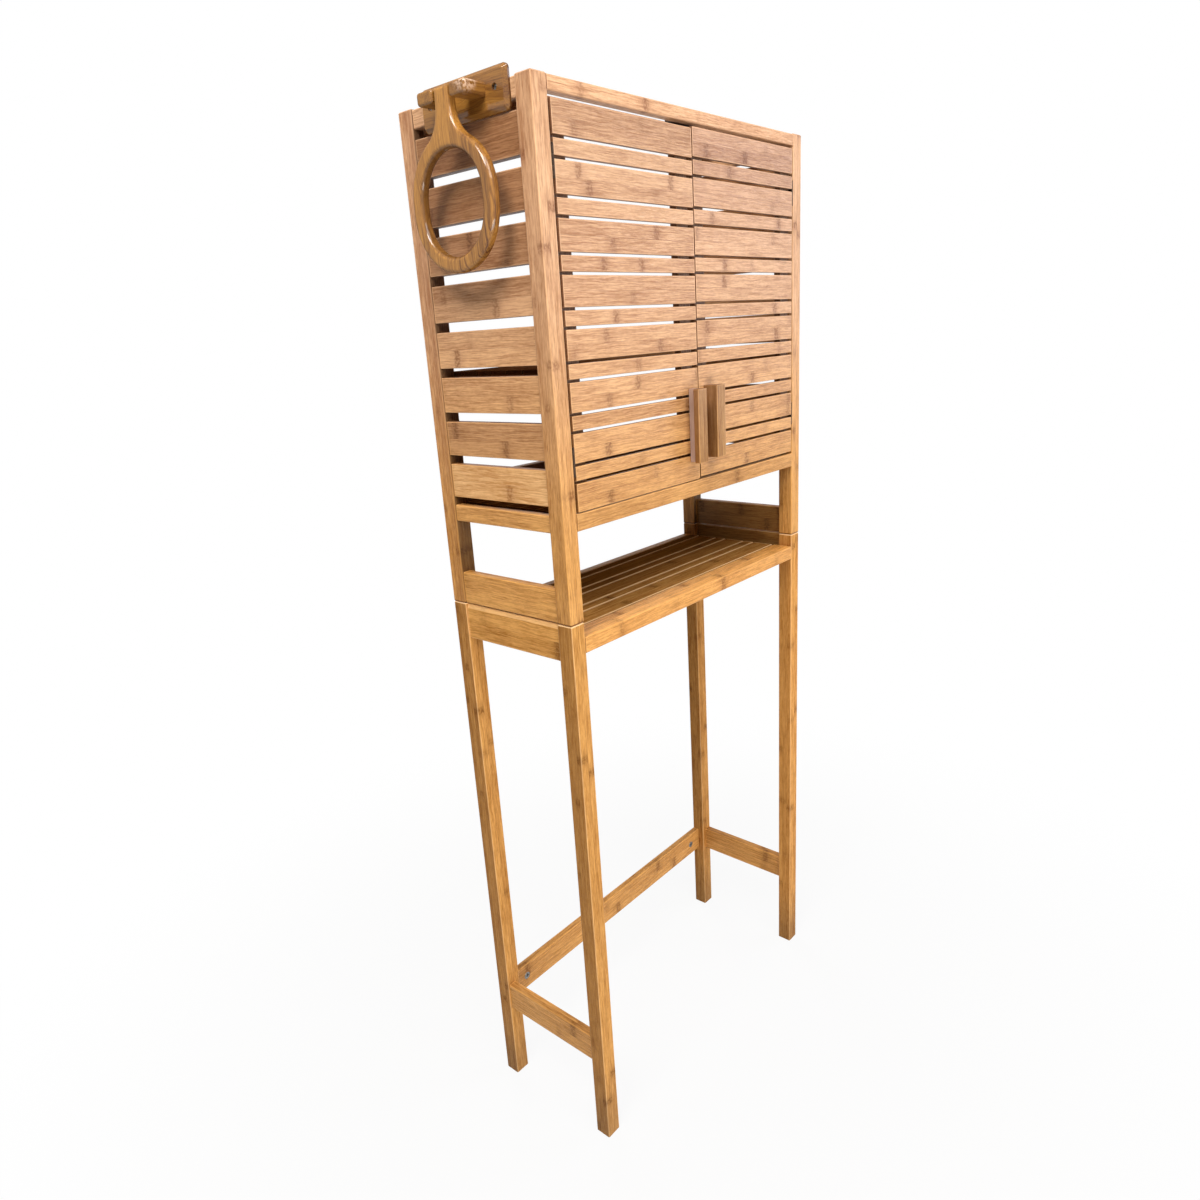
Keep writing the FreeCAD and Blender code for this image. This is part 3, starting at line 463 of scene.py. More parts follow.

# %% [markdown]
# The boards' colours
#
# The same group serves every board, and each board hands it its own colours. The boards up high are paler
# and rosier, a painted glare, and those low down stay golden, so two sets of colours are mixed by height.
# Single boards are darker or paler than the rest, and the door battens, the shelves and the cupboard's
# floor are painted darker as shade. Some change along their length, as painted shade: the side slats and
# the doors towards the top, the shelf towards the wall, the legs towards the floor; the left grip has a
# pale strip next to the door, a painted sheen. The lowest side slat is painted paler as light, and the next
# one darker. Faces that look inwards are painted darker as shade. Colours could be painted on each mesh,
# but short tables are easier to compare.

# %% Board colours
AXIS = {"x": 0, "y": 1, "z": 2}
# A set holds the pale and the deep tone of the fibres, and the brown of the rings
LOW_COLOURS = (colour(0.72, 0.37, 0.108), colour(0.34, 0.135, 0.024), colour(0.17, 0.061, 0.011))
HIGH_COLOURS = (colour(0.75, 0.455, 0.258), colour(0.37, 0.175, 0.078), colour(0.21, 0.080, 0.034))
# The boards turn to the high set between these heights: a painted glare, paler and rosier at the top
GLARE_HEIGHTS = (1.00, 1.45)
# Boards darker or paler than the rest; the door battens, the shelves and the cupboard's floor are painted
# darker as shade
SHADES = {
    "left_door_slats": 0.95, "right_door_slats": 0.95,
    "left_door_grip": 0.62, "right_door_grip": 0.62,
    "left_door_outer_batten": 0.45, "left_door_inner_batten": 0.45,
    "right_door_outer_batten": 0.45, "right_door_inner_batten": 0.45,
    "shelf_slats": 0.62, "floor_slats": 0.45, "mid_shelf_slats": 0.45,
    "front_top_rail": 1.10, "front_bottom_rail": 0.88, "shelf_front_board": 1.28,
    "post_back_left": 1.15, "leg_front_left": 0.95, "leg_front_right": 1.18,
}
# Faces turned inwards, painted darker as shade: axis, direction and shade
INNER_SHADE_FACES = {
    "joint_rail_left": ("x", 1.0, 0.55),
    "joint_rail_right": ("x", -1.0, 0.43),
    "leg_rail_left": ("x", 1.0, 0.55),
    "leg_rail_right": ("x", -1.0, 0.48),
    "post_back_left": ("y", -1.0, 0.26),
    "post_back_right": ("y", -1.0, 0.26),
    "back_bottom_rail": ("y", -1.0, 0.30),
    "shelf_back_rail": ("y", -1.0, 0.55),
}
INNER_FACING = (0.30, 0.80)
# Sets that a board turns to along one axis: painted shade towards the tops, the wall and the floor, and a
# painted sheen on the left grip
SIDE_TOP_SHADE = ((0.40, 0.200, 0.092), (0.19, 0.078, 0.030), (0.10, 0.038, 0.015))
LEFT_DOOR_TOP_SHADE = ((0.64, 0.385, 0.215), (0.31, 0.146, 0.064), (0.18, 0.068, 0.028))
RIGHT_DOOR_TOP_SHADE = ((0.60, 0.352, 0.208), (0.29, 0.134, 0.064), (0.16, 0.061, 0.027))
SHELF_BACK_SHADE = ((0.24, 0.100, 0.018), (0.12, 0.045, 0.007), (0.07, 0.022, 0.003))
GRIP_SHEEN = ((0.56, 0.40, 0.33), (0.38, 0.25, 0.20), (0.36, 0.24, 0.19))
LEG_FOOT_SHADE = ((0.50, 0.265, 0.090), (0.24, 0.100, 0.022), (0.12, 0.045, 0.010))
CHANGES = {
    # board: the axis, where the change starts and ends, and the set at its end
    "side_slats_left": ("z", 1.28, 1.52, SIDE_TOP_SHADE),
    "side_slats_right": ("z", 1.28, 1.52, SIDE_TOP_SHADE),
    "left_door_slats": ("z", 1.44, 1.60, LEFT_DOOR_TOP_SHADE),
    "right_door_slats": ("z", 1.40, 1.58, RIGHT_DOOR_TOP_SHADE),
    "shelf_slats": ("y", -0.08, 0.10, SHELF_BACK_SHADE),
    "left_door_grip": ("y", -0.1265, -0.1245, GRIP_SHEEN),
}
for corner in ("front_left", "front_right", "back_left", "back_right"):
    CHANGES["leg_" + corner] = ("z", 0.16, 0.0, LEG_FOOT_SHADE)
# The lowest side slat is painted paler as light, the next one darker
LOWEST_SLAT_LIGHT = ((0.90, 0.58, 0.29), (0.56, 0.27, 0.085), (0.32, 0.125, 0.035))
LOWEST_SLAT_LIGHT_SHARE = 0.75
SECOND_SLAT_TONE = colour(0.78, 0.76, 0.80)


def shaded_colour(tint, shade):
    return colour(*[shade * part for part in tint[:3]])


def blend_sets(tree, share, tints, others):
    return [blend_colour(tree, share, tint, colour(*other)) for tint, other in zip(tints, others)]


def multiply_set(tree, share, tints, factor):
    return [multiply_colour(tree, share, tint, factor) for tint in tints]


def board_colours(tree, node, axes, facing, slat):
    """The pale, deep and ring colours of a board, as they change over it, with the light and shade painted
    into them.
    """
    # Painted glare: paler and rosier towards the top
    glare_share = ramp(tree, axes["Z"], *GLARE_HEIGHTS)
    shade = SHADES.get(node, 1.0)
    tints = []
    for low, high in zip(LOW_COLOURS, HIGH_COLOURS):
        tints.append(blend_colour(tree, glare_share, shaded_colour(low, shade), shaded_colour(high, shade)))
    # Painted shade along a board's length, and a painted sheen on the left grip
    if node in CHANGES:
        letter, start, stop, turned = CHANGES[node]
        tints = blend_sets(tree, ramp(tree, axes[AXIS[letter]], start, stop), tints, turned)
    # Painted light on the lowest side slat; the next one is darker
    if node.startswith("side_slats"):
        lowest = maths(tree, "MULTIPLY", maths(tree, "LESS_THAN", slat, 0.5), LOWEST_SLAT_LIGHT_SHARE)
        second = maths(tree, "COMPARE", slat, 1.0, 0.5)
        tints = blend_sets(tree, lowest, tints, LOWEST_SLAT_LIGHT)
        tints = multiply_set(tree, second, tints, SECOND_SLAT_TONE)
    # Painted shade on the faces turned inwards
    if node in INNER_SHADE_FACES:
        letter, direction, shade = INNER_SHADE_FACES[node]
        inside = ramp(tree, maths(tree, "MULTIPLY", facing[AXIS[letter]], direction), *INNER_FACING)
        tints = multiply_set(tree, inside, tints, colour(shade, shade, shade))
    return tints


print(len(SHADES), "boards of another shade,", len(CHANGES), "that change along their length")

# %% [markdown]
# Painted edge highlights and shade
#
# Edges are painted pale as highlights, most of all on the open shelf, where a honey tone is used, and on
# the legs, whose faces and rails that look up are painted paler as the light on them. The sides of slats,
# grips and legs are painted darker than their faces, as the shade in the gaps, and so is the groove where
# each post stands on its leg. Both reach the bamboo group as masks, from the way a face is turned and from
# the distances that the groups above measure, because the meshes are too plain to carry them painted on.

# %% Painted highlights and shade
# How dark the sides of slats, grips and legs are painted, as the shade in the gaps
SIDE_SHADE = {"slats": 0.90, "grip": 0.45, "leg": 0.22}
SIDE_FACING = (0.70, 0.97)
# The groove at a post's foot is painted dark as shade
GROOVE_SHADE = 0.95
GROOVE_REACH = (0.0022, 0.0032)
# How pale each kind of board's edges are painted, as highlights
EDGE_HIGHLIGHTS = {
    "shelf": 0.62, "slats": 0.60, "grip": 0.30, "leg": 0.30, "rail": 0.55, "stretcher": 0.55, "board": 0.60}
PLAIN_HIGHLIGHT = 0.35
# Upward faces of the legs and their rails are painted paler, as the light on them
LEG_TOP_HIGHLIGHT = 0.90
RAIL_TOP_HIGHLIGHT = 0.35
UPPER_FACING = (0.15, 0.45)
# The colour of the painted highlight on the legs and the shelf's slats
HIGHLIGHT_RIM = colour(0.95, 0.64, 0.34)


def board_side_shade(tree, node, side_on, rise):
    """How dark a board's sides are painted, as the shade in its gaps, and a post's foot, as the shade in
    its groove; the shelf's slats get none.
    """
    if node == "shelf_slats":
        return 0.0
    kinds = node.split("_")
    gap_shade = max([SIDE_SHADE.get(word, 0.0) for word in kinds])
    sides = ramp(tree, side_on, *SIDE_FACING, 0.0, gap_shade)
    if kinds[0] == "post":
        sides = maths(tree, "MAXIMUM", sides, ramp(tree, rise, *GROOVE_REACH, GROOVE_SHADE, 0.0))
    return sides


def board_edge_highlights(tree, node, axes, facing, mask):
    """How strongly a board's edges, and the upward faces of legs and their rails, are painted pale as
    highlights, and the highlight's colour.
    """
    kinds = node.split("_")
    highlight_shares = [EDGE_HIGHLIGHTS[word] for word in kinds if word in EDGE_HIGHLIGHTS]
    edges = maths(tree, "MULTIPLY", mask, highlight_shares[0] if highlight_shares else PLAIN_HIGHLIGHT)
    if kinds[0] == "leg":
        top_highlight = RAIL_TOP_HIGHLIGHT if "rail" in kinds else LEG_TOP_HIGHLIGHT
        edges = maths(tree, "MAXIMUM", edges, ramp(tree, facing["Z"], *UPPER_FACING, 0.0, top_highlight))
    if kinds[0] == "leg" or node == "shelf_slats":
        return edges, HIGHLIGHT_RIM
    # Painted glare on the highlight's colour, paler and rosier towards the top
    glare_share = ramp(tree, axes["Z"], *GLARE_HEIGHTS)
    return edges, blend_colour(tree, glare_share, LOW_COLOURS[0], HIGH_COLOURS[0])


print("painted highlights for", ", ".join(sorted(EDGE_HIGHLIGHTS)))

# %% [markdown]
# A bamboo finish for each board
#
# The grain runs along each board, so the three axes are named in that order: along, across and
# through it. Posts and legs have upright grain and show their layers on two faces, rails run
# lengthwise, and rows of slats use the slat group above. The finish is a satin lacquer, so the
# gloss is soft: strongest on the polished doors, weak on the legs and gone from the worn shelves.

# %% Bamboo material
BUMP_DEPTH = 0.00025
EDGE_REACH = 0.0022
END_FACING = (0.80, 0.97)
LAYER_MARGIN = 0.0001
GLOSS = {
    "left_door_slats": 0.30, "right_door_slats": 0.30,
    "shelf_slats": 0.0, "floor_slats": 0.0, "mid_shelf_slats": 0.0,
}
PLAIN_GLOSS = 0.18
LEG_GLOSS = 0.05


def point_and_facing(tree):
    """The point's coordinates, its three axes, and the three parts of its face's direction."""
    place = add_node(tree, "TexCoord").outputs
    axes = add_node(tree, "SeparateXYZ", {0: place["Object"]}).outputs
    facing = add_node(tree, "SeparateXYZ", {0: place["Normal"]}).outputs
    return place, axes, facing


def finish_surface(tree, looks, bump, **shader_values):
    bump_values = {"Height": looks["Height"], "Strength": 1.0, "Distance": bump}
    normal = add_node(tree, "Bump", bump_values).outputs[0]
    values = {"Base Color": looks["Color"], "Roughness": looks["Roughness"], "Normal": normal}
    values.update(shader_values)
    shader = add_node(tree, "BsdfPrincipled", values).outputs[0]
    add_node(tree, "OutputMaterial", {"Surface": shader})


def face_distance(tree, place, low, high):
    from_low = maths(tree, "SUBTRACT", place, low)
    return maths(tree, "MINIMUM", from_low, maths(tree, "SUBTRACT", high, place))


def bamboo_material(node, grain, row, strip, layer, seed):
    """grain names the axes along, across and through the board; row is wide, narrow and gap."""
    material, tree = new_material("bamboo_" + node)
    axes, facing = point_and_facing(tree)[1:]
    along, across, through = (axes[AXIS[letter]] for letter in grain)
    end_on, side_on = (maths(tree, "ABSOLUTE", facing[AXIS[letter]]) for letter in grain[:2])
    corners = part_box(node)
    (a0, a1), (c0, c1), (t0, t1) = ([corner[AXIS[letter]] for corner in corners] for letter in grain)
    wide, narrow, gap = row or (c1 - c0, c1 - c0, 0.0)
    slat = group_node(tree, slat_place, {
        "Across": across, "Start": c0, "Wide": wide, "Narrow": narrow, "Gap": gap})
    easing = group_node(tree, eased_edge, {
        "First": face_distance(tree, along, a0, a1), "Second": slat["Edge Distance"],
        "Third": face_distance(tree, through, t0, t1), "Reach": EDGE_REACH})
    pale, deep, mark = board_colours(tree, node, axes, facing, slat["Slat"])
    # Painted highlights on the edges, and their colour
    edges, rim = board_edge_highlights(tree, node, axes, facing, easing["Mask"])
    # The sides' painted shade and the edges' painted highlight go into the group
    looks = group_node(tree, bamboo, {
        "Along": along, "Across": slat["Local"],
        "Through": maths(tree, "SUBTRACT", through, t0 - LAYER_MARGIN),
        "Slat": slat["Slat"], "Strip Width": strip, "Layer Thickness": layer, "Seed": float(seed),
        "Edge": edges, "Side": board_side_shade(tree, node, side_on, maths(tree, "SUBTRACT", along, a0)),
        "End": ramp(tree, end_on, *END_FACING), "Pale": pale, "Deep": deep, "Mark": mark, "Highlight Colour": rim})
    gloss = LEG_GLOSS if node.startswith("leg_") else GLOSS.get(node, PLAIN_GLOSS)
    finish_surface(tree, looks, BUMP_DEPTH, **{"Specular IOR Level": gloss})
    return material


def paint(node, material):
    mesh = nodes[node].data
    mesh.materials.clear()
    mesh.materials.append(material)


print("lacquer with a gloss of", PLAIN_GLOSS)

# %% [markdown]
# Rows of slats
#
# The slat group needs the widths in each row. They could be written down, but then they would
# be wrong as soon as the cabinet's size changes. The box of a row gives them: what the gaps
# leave is shared out evenly, or with wide slats twice as wide as the narrow ones between them.

# %% Slat widths
DOOR_GAP = 0.0039
SHELF_GAP = 0.003
SIDE_GAP = 0.013
INNER_GAP = 0.0026
TOP_WIDE = 0.032


def even_row(node, axis, count, gap):
    low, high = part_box(node)
    wide = (high[axis] - low[axis] - (count - 1) * gap) / count
    return (wide, wide, gap)


def paired_row(node, axis, wides, narrows, gap):
    low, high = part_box(node)
    gaps = wides + narrows - 1
    narrow = (high[axis] - low[axis] - gaps * gap) / (2 * wides + narrows)
    return (2 * narrow, narrow, gap)


DOOR_ROW = paired_row("left_door_slats", AXIS["z"], 8, 7, DOOR_GAP)
SHELF_ROW = paired_row("shelf_slats", AXIS["y"], 3, 3, SHELF_GAP)
SIDE_ROW = even_row("side_slats_left", AXIS["z"], 8, SIDE_GAP)
top_low, top_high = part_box("top_slats")
TOP_ROW = (TOP_WIDE, TOP_WIDE, top_high[1] - top_low[1] - 2 * TOP_WIDE)
print("door slats %.1f and %.1f mm wide" % (1000 * DOOR_ROW[0], 1000 * DOOR_ROW[1]))

# %% [markdown]
# The boards
#
# Boards of one kind are sawn from the same stock, so one table holds the strip width and the
# layer thickness of each kind. A seed for each board keeps any two from showing the same grain.
# It comes from the board's place in the sorted list, so it is the same in every run.

# %% Boards
UPRIGHT = "zxy"
SIDEWAYS = "yzx"
LENGTHWISE = "xzy"
LYING = "xyz"
RAIL_LAYER = 0.0081
ONE_LAYER = 0.02
STOCK = {
    # kind: strip width and layer thickness
    "post": (0.0142, 0.0094),
    "batten": (0.0142, ONE_LAYER),
    "grip": (0.0131, 0.0161),
    "stretcher": (0.0252, RAIL_LAYER),
    "leg_rail": (0.0287, RAIL_LAYER),
    "rail": (0.026, RAIL_LAYER),
    "front_board": (0.0202, 0.026),
    "half_slat": (0.0151, ONE_LAYER),
    "side_slat": (SIDE_ROW[0] / 2, ONE_LAYER),
    "door_slat": (DOOR_ROW[1], ONE_LAYER),
    "shelf_slat": (SHELF_ROW[1], ONE_LAYER),
    "top_slat": (TOP_WIDE / 2, ONE_LAYER),
}
SEED_STEP = 101
FIRST_SEED = 7

BOARDS = {}
for side in ("left", "right"):
    for end in ("front", "back"):
        for name in ("leg", "post"):
            BOARDS["%s_%s_%s" % (name, end, side)] = (UPRIGHT, None, "post")
    for name in ("side_stretcher", "joint_rail"):
        BOARDS["%s_%s" % (name, side)] = (SIDEWAYS, None, "stretcher")
    for name in ("side_bottom_rail", "side_top_rail"):
        BOARDS["%s_%s" % (name, side)] = (SIDEWAYS, None, "rail")
    BOARDS["leg_rail_" + side] = (SIDEWAYS, None, "leg_rail")
    BOARDS["side_slats_" + side] = (SIDEWAYS, SIDE_ROW, "side_slat")
    BOARDS[side + "_door_slats"] = (LENGTHWISE, DOOR_ROW, "door_slat")
    BOARDS[side + "_door_outer_batten"] = (UPRIGHT, None, "batten")
    BOARDS[side + "_door_inner_batten"] = (UPRIGHT, None, "batten")
    BOARDS[side + "_door_grip"] = (UPRIGHT, None, "grip")
for name in ("back_stretcher", "back_bottom_rail"):
    BOARDS[name] = (LENGTHWISE, None, "stretcher")
for name in ("shelf_back_rail", "front_bottom_rail", "front_top_rail", "back_top_rail"):
    BOARDS[name] = (LENGTHWISE, None, "rail")
for name in ("floor_slats", "mid_shelf_slats"):
    BOARDS[name] = (LYING, even_row(name, AXIS["y"], 7, INNER_GAP), "half_slat")
for name in ("shelf_cleats", "floor_cleats", "mid_shelf_cleats", "top_cleats"):
    BOARDS[name] = (SIDEWAYS, None, "half_slat")
BOARDS["shelf_front_board"] = (LYING, None, "front_board")
BOARDS["shelf_slats"] = (LYING, SHELF_ROW, "shelf_slat")
BOARDS["top_slats"] = (LYING, TOP_ROW, "top_slat")

for number, (name, (grain, row, kind)) in enumerate(sorted(BOARDS.items())):
    strip, layer = STOCK[kind]
    paint(name, bamboo_material(name, grain, row, strip, layer, number * SEED_STEP + FIRST_SEED))
print("bamboo on", len(BOARDS), "nodes")

# %% [markdown]
# Oiled wood of the towel ring
#
# The ring, its arms and its plate are of a darker open-grained wood under glossy oil. Its
# growth lines run straight down the neck and cross the ring's bar at the bottom. Regular bands
# would look printed, so the lines come from drawn-out noise at an uneven spacing, and thin dark
# pores lie along the grain. The surface was carved by hand, and slow waves in the bump break
# the highlights into short streaks.

# %% Group: oiled wood
SEED_SHIFT = 0.37
OILED_WAVER_SIZE = (0.07, 0.03)
OILED_WAVER_REACH = 0.018
LINE_SPACING = 0.0050
LINE_SLANT = 60.0
LINE_EDGES = (0.60, 1.0)
DRIFT_SIZE = (0.50, 0.020)
DRIFT_REACH = 9.0
# Length and width of the marks in metres, and where their noise turns dark
BROAD_GRAIN = (0.13, 0.011, 0.32, 0.68)
STREAKS = (0.050, 0.0016, 0.34, 0.66)
PORES = (0.011, 0.0007, 0.60, 0.74)
GRAIN_DETAIL = 3.0
PORE_STRENGTH = 0.55
OILED_TONE_SHIFT = 0.06
CARVING_SIZE = (0.018, 0.009)
CARVING_DETAIL = 1.0
OIL_ROUGHNESS = 0.22

oiled, given = new_group(
    "oiled_wood_grain",
    floats("Along", "Across", "Through", "Seed", "Heart", "Lines", "End") + colours("Pale", "Deep", "Pore"),
    colours("Color") + floats("Roughness", "Height"))
tree = oiled
along = maths(tree, "MULTIPLY_ADD", given["Seed"], SEED_SHIFT, given["Along"])
waver = centred(fibres(*OILED_WAVER_SIZE), OILED_WAVER_REACH)
drift = maths(tree, "MULTIPLY", fibres(*DRIFT_SIZE, waver), DRIFT_REACH)
bands = maths(tree, "DIVIDE", maths(tree, "ADD", given["Across"], waver), LINE_SPACING)
bands = maths(tree, "ADD", bands, maths(tree, "MULTIPLY_ADD", given["Through"], LINE_SLANT, drift))
line = ramp(tree, maths(tree, "PINGPONG", bands, 1.0), *LINE_EDGES)
line = maths(tree, "MULTIPLY", line, given["Lines"])
broad = fibre_layer(*BROAD_GRAIN, waver, GRAIN_DETAIL)
streak = fibre_layer(*STREAKS, waver, GRAIN_DETAIL)
pores = fibre_layer(*PORES)
tone = add_up(maths(tree, "MULTIPLY", broad, 0.34), [(line, 0.45)])
tone = maths(tree, "SUBTRACT", tone, OILED_TONE_SHIFT)
tone = maths(tree, "MULTIPLY_ADD", streak, 0.34, tone, clamp=True)
tone = maths(tree, "MULTIPLY_ADD", given["Heart"], 0.30, tone, clamp=True)
body = blend_colour(tree, tone, given["Pale"], given["Deep"])
body = blend_colour(tree, maths(tree, "MULTIPLY", pores, PORE_STRENGTH), body, given["Pore"])
body = blend_colour(tree, given["End"], body, given["Pore"])
rough = add_up(OIL_ROUGHNESS, [(broad, 0.08), (pores, 0.20)])
carved = fibres(*CARVING_SIZE, detail=CARVING_DETAIL)
height = add_up(maths(tree, "MULTIPLY", streak, 0.20), [(carved, 2.6), (pores, -0.5)])
close_group(oiled, {"Color": body, "Roughness": rough, "Height": height})
print("group", oiled.name, "with", len(oiled.nodes), "nodes")

# %% [markdown]
# The ring, its plate and its arms
#
# The grain runs down the ring, along the plate and out along the arms. The wood is darker towards the
# front, where the heart of the plank was, and its lines are clear only low on the ring. The inside of the
# ring is painted darker as shade, and the plate and the arms are painted darker as a whole, as shade. The
# front arm's outer corner is scuffed down to bare wood and painted paler, partly as the highlight on that
# corner. The oil is a thin glossy skin, so it is made as the shader's coat, and the wood under it has no
# gloss of its own.

# %% Oiled wood materials
OILED_PALE = colour(0.50, 0.235, 0.046)
OILED_DEEP = colour(0.115, 0.040, 0.012)
OILED_PORE = colour(0.060, 0.021, 0.008)
OILED_PIECES = {
    # piece: axes along, across and through it, its shade (painted shade on the plate and the arms), and how
    # dark its cut ends are
    "towel_ring": ("zyx", 1.0, 0.30),
    "ring_plate": ("yzx", 0.78, 0.70),
    "ring_arms": ("xzy", 0.70, 0.0),
}
OILED_BUMP = 0.00036
OILED_GLOSS = {"Specular IOR Level": 0.0, "Coat Weight": 0.26, "Coat Roughness": 0.06, "Coat IOR": 2.30}
CUT_FACING = (0.55, 0.95)
HEART_PLACES = (0.010, -0.060)
LINE_HEIGHTS = (1.540, 1.450)
FAINT_LINES = 0.25
INSIDE_FACING = (0.15, 0.90)
# The inside of the ring is painted darker as shade
INSIDE_SHADE = 0.60
# The front arm's corner: a scuff, painted paler partly as a highlight
SCUFF_AND_HIGHLIGHT_PLACE = (-0.343, -0.036, 1.640)
SCUFF_AND_HIGHLIGHT_REACH = (0.019, 0.007)
SCUFF_AND_HIGHLIGHT_COLOUR = colour(0.60, 0.40, 0.27)
CHIPS_PER_METRE = 240.0
CHIP_DETAIL = 3.0
CHIP_EDGES = (0.38, 0.60)


def vector_maths(tree, operation, *values):
    return add_node(tree, "VectorMath", dict(enumerate(values)), operation=operation).outputs


def ring_inside(tree, place):
    """How dark the ring is painted, as shade, where its face is turned to the ring's middle."""
    low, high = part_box("towel_ring")
    middle = (low[1] + high[1]) / 2
    centre = ((low[0] + high[0]) / 2, middle, low[2] + high[1] - middle)
    inward = vector_maths(tree, "SUBTRACT", centre, place["Object"])["Vector"]
    inward = vector_maths(tree, "NORMALIZE", inward)["Vector"]
    turned = vector_maths(tree, "DOT_PRODUCT", inward, place["Normal"])["Value"]
    return ramp(tree, turned, *INSIDE_FACING, 0.0, INSIDE_SHADE)


def arm_scuff_and_highlight(tree, place):
    """How bare the front arm's outer corner is, and how strongly it is painted paler as a highlight."""
    away = vector_maths(tree, "DISTANCE", place["Object"], SCUFF_AND_HIGHLIGHT_PLACE)["Value"]
    chips = noise(tree, place["Object"], CHIPS_PER_METRE, CHIP_DETAIL)
    return maths(tree, "MULTIPLY", ramp(tree, away, *SCUFF_AND_HIGHLIGHT_REACH), ramp(tree, chips, *CHIP_EDGES))


for seed, (name, (grain, shade, end_grime)) in enumerate(OILED_PIECES.items()):
    material, tree = new_material("oiled_wood_" + name)
    place, axes, facing = point_and_facing(tree)
    along, across, through = (axes[AXIS[letter]] for letter in grain)
    end = ramp(tree, maths(tree, "ABSOLUTE", facing[AXIS[grain[0]]]), *CUT_FACING, 0.0, end_grime)
    # On the ring the painted shade inside it is added to the darker cut ends
    if name == "towel_ring":
        end = maths(tree, "MAXIMUM", end, ring_inside(tree, place))
    looks = dict(group_node(tree, oiled, {
        "Along": along, "Across": across, "Through": through, "Seed": float(seed),
        "Heart": ramp(tree, axes["Y"], *HEART_PLACES),
        "Lines": ramp(tree, axes["Z"], *LINE_HEIGHTS, FAINT_LINES, 1.0), "End": end,
        "Pale": shaded_colour(OILED_PALE, shade), "Deep": OILED_DEEP, "Pore": OILED_PORE}).items())
    # The front arm's corner: scuff and painted highlight
    if name == "ring_arms":
        looks["Color"] = blend_colour(tree, arm_scuff_and_highlight(tree, place), looks["Color"], SCUFF_AND_HIGHLIGHT_COLOUR)
    finish_surface(tree, looks, OILED_BUMP, **OILED_GLOSS)
    paint(name, material)
print("oiled wood on", len(OILED_PIECES), "nodes")

# %% [markdown]
# Steel, plastic and dowels
#
# The small fittings are zinc-plated steel with a faint brushed sheen and fine scratches, and the hinges are
# a dark steel, painted dark as the shade of the door gaps they sit in. The catch is a dark moulded plastic
# with a fine texture, and the hidden dowels are raw wood. All of them need only a colour and a gloss that
# wander a little.

# %% Fitting materials
FINISHES = {
    # finish: light and dark colour, metal or not, roughness from and to, patches per metre, bump
    "zinc_steel": ((0.62, 0.61, 0.58), (0.44, 0.43, 0.41), 1.0, (0.24, 0.42), 160.0, 0.00004),
    "cast_zinc": ((0.30, 0.30, 0.29), (0.19, 0.19, 0.18), 1.0, (0.36, 0.58), 140.0, 0.00005),
    # The hinges' dark colour is painted shade, the shade of the door gaps
    "shade_dark_steel": ((0.075, 0.052, 0.038), (0.045, 0.031, 0.022), 1.0, (0.38, 0.55), 160.0, 0.00004),
    "catch_plastic": ((0.060, 0.038, 0.026), (0.042, 0.026, 0.018), 0.0, (0.45, 0.62), 300.0, 0.00006),
    "dowel_wood": ((0.66, 0.48, 0.29), (0.52, 0.36, 0.20), 0.0, (0.55, 0.75), 220.0, 0.0001),
}
PATCH_EDGES = (0.3, 0.7)
PATCH_DETAIL = 4.0
SPECKS_PER_PATCH = 9.0
SPECK_DETAIL = 2.0


def fitting_material(name):
    """A finish whose colour and gloss wander with fine noise."""
    light, dark, metallic, roughness, scale, bump = FINISHES[name]
    material, tree = new_material(name)
    place = add_node(tree, "TexCoord").outputs["Object"]
    patch = noise(tree, place, scale, PATCH_DETAIL)
    speck = noise(tree, place, scale * SPECKS_PER_PATCH, SPECK_DETAIL)
    mixed = blend_colour(tree, ramp(tree, patch, *PATCH_EDGES), colour(*light), colour(*dark))
    rough = ramp(tree, speck, *PATCH_EDGES, *roughness)
    looks = {"Color": mixed, "Roughness": rough, "Height": speck}
    finish_surface(tree, looks, bump, Metallic=metallic)
    return material


STEEL = fitting_material("zinc_steel")
CAST_ZINC = fitting_material("cast_zinc")
SHADE_DARK_STEEL = fitting_material("shade_dark_steel")
CATCH_PLASTIC = fitting_material("catch_plastic")
DOWEL_WOOD = fitting_material("dowel_wood")
FITTINGS = {
    STEEL: ("cam_bolts", "ring_pin", "left_strike_plate", "right_strike_plate"),
    SHADE_DARK_STEEL: (
        "hinge_frame_leaves", "left_hinge_door_leaves", "right_hinge_door_leaves", "hinge_pins"),
    CATCH_PLASTIC: ("door_catch",),
    DOWEL_WOOD: ("leg_dowels",),
}
for material, names in FITTINGS.items():
    for name in names:
        paint(name, material)
print(len(FINISHES), "finishes for the fittings")

# %% [markdown]
# Screws and cam locks with a driver's recess
#
# In the CAD model a screw is a plain stepped cylinder. A real head is slightly domed, rounded at
# its rim, and has a cross-shaped recess that narrows as it goes down. A boolean could cut that,
# but the outline of a cross is only twelve points, so it is drawn directly: the top is filled
# between the cross and the rim, and the cross is stepped down to a smaller one. The places come
# from the CAD meshes themselves: each loose lump in a node is one screw.

# %% Find the lumps in a node
WELD_REACH = 1e-6


def lumps(node):
    """The lowest and highest corners of each loose lump in a node's mesh."""
    copy = bmesh.new()
    copy.from_mesh(nodes[node].data)
    bmesh.ops.remove_doubles(copy, verts=copy.verts, dist=WELD_REACH)
    waiting = set(copy.verts)
    boxes = []
    while waiting:
        start = min(waiting, key=lambda vert: vert.index)
        reached = {start}
        front = [start]
        while front:
            for edge in front.pop().link_edges:
                for vert in edge.verts:
                    if vert not in reached:
                        reached.add(vert)
                        front.append(vert)
        waiting -= reached
        columns = list(zip(*(vert.co for vert in reached)))
        low = Vector([min(column) for column in columns])
        high = Vector([max(column) for column in columns])
        boxes.append((low, high))
    copy.free()
    return sorted(boxes, key=lambda pair: tuple(round(value, 4) for value in pair[0]))


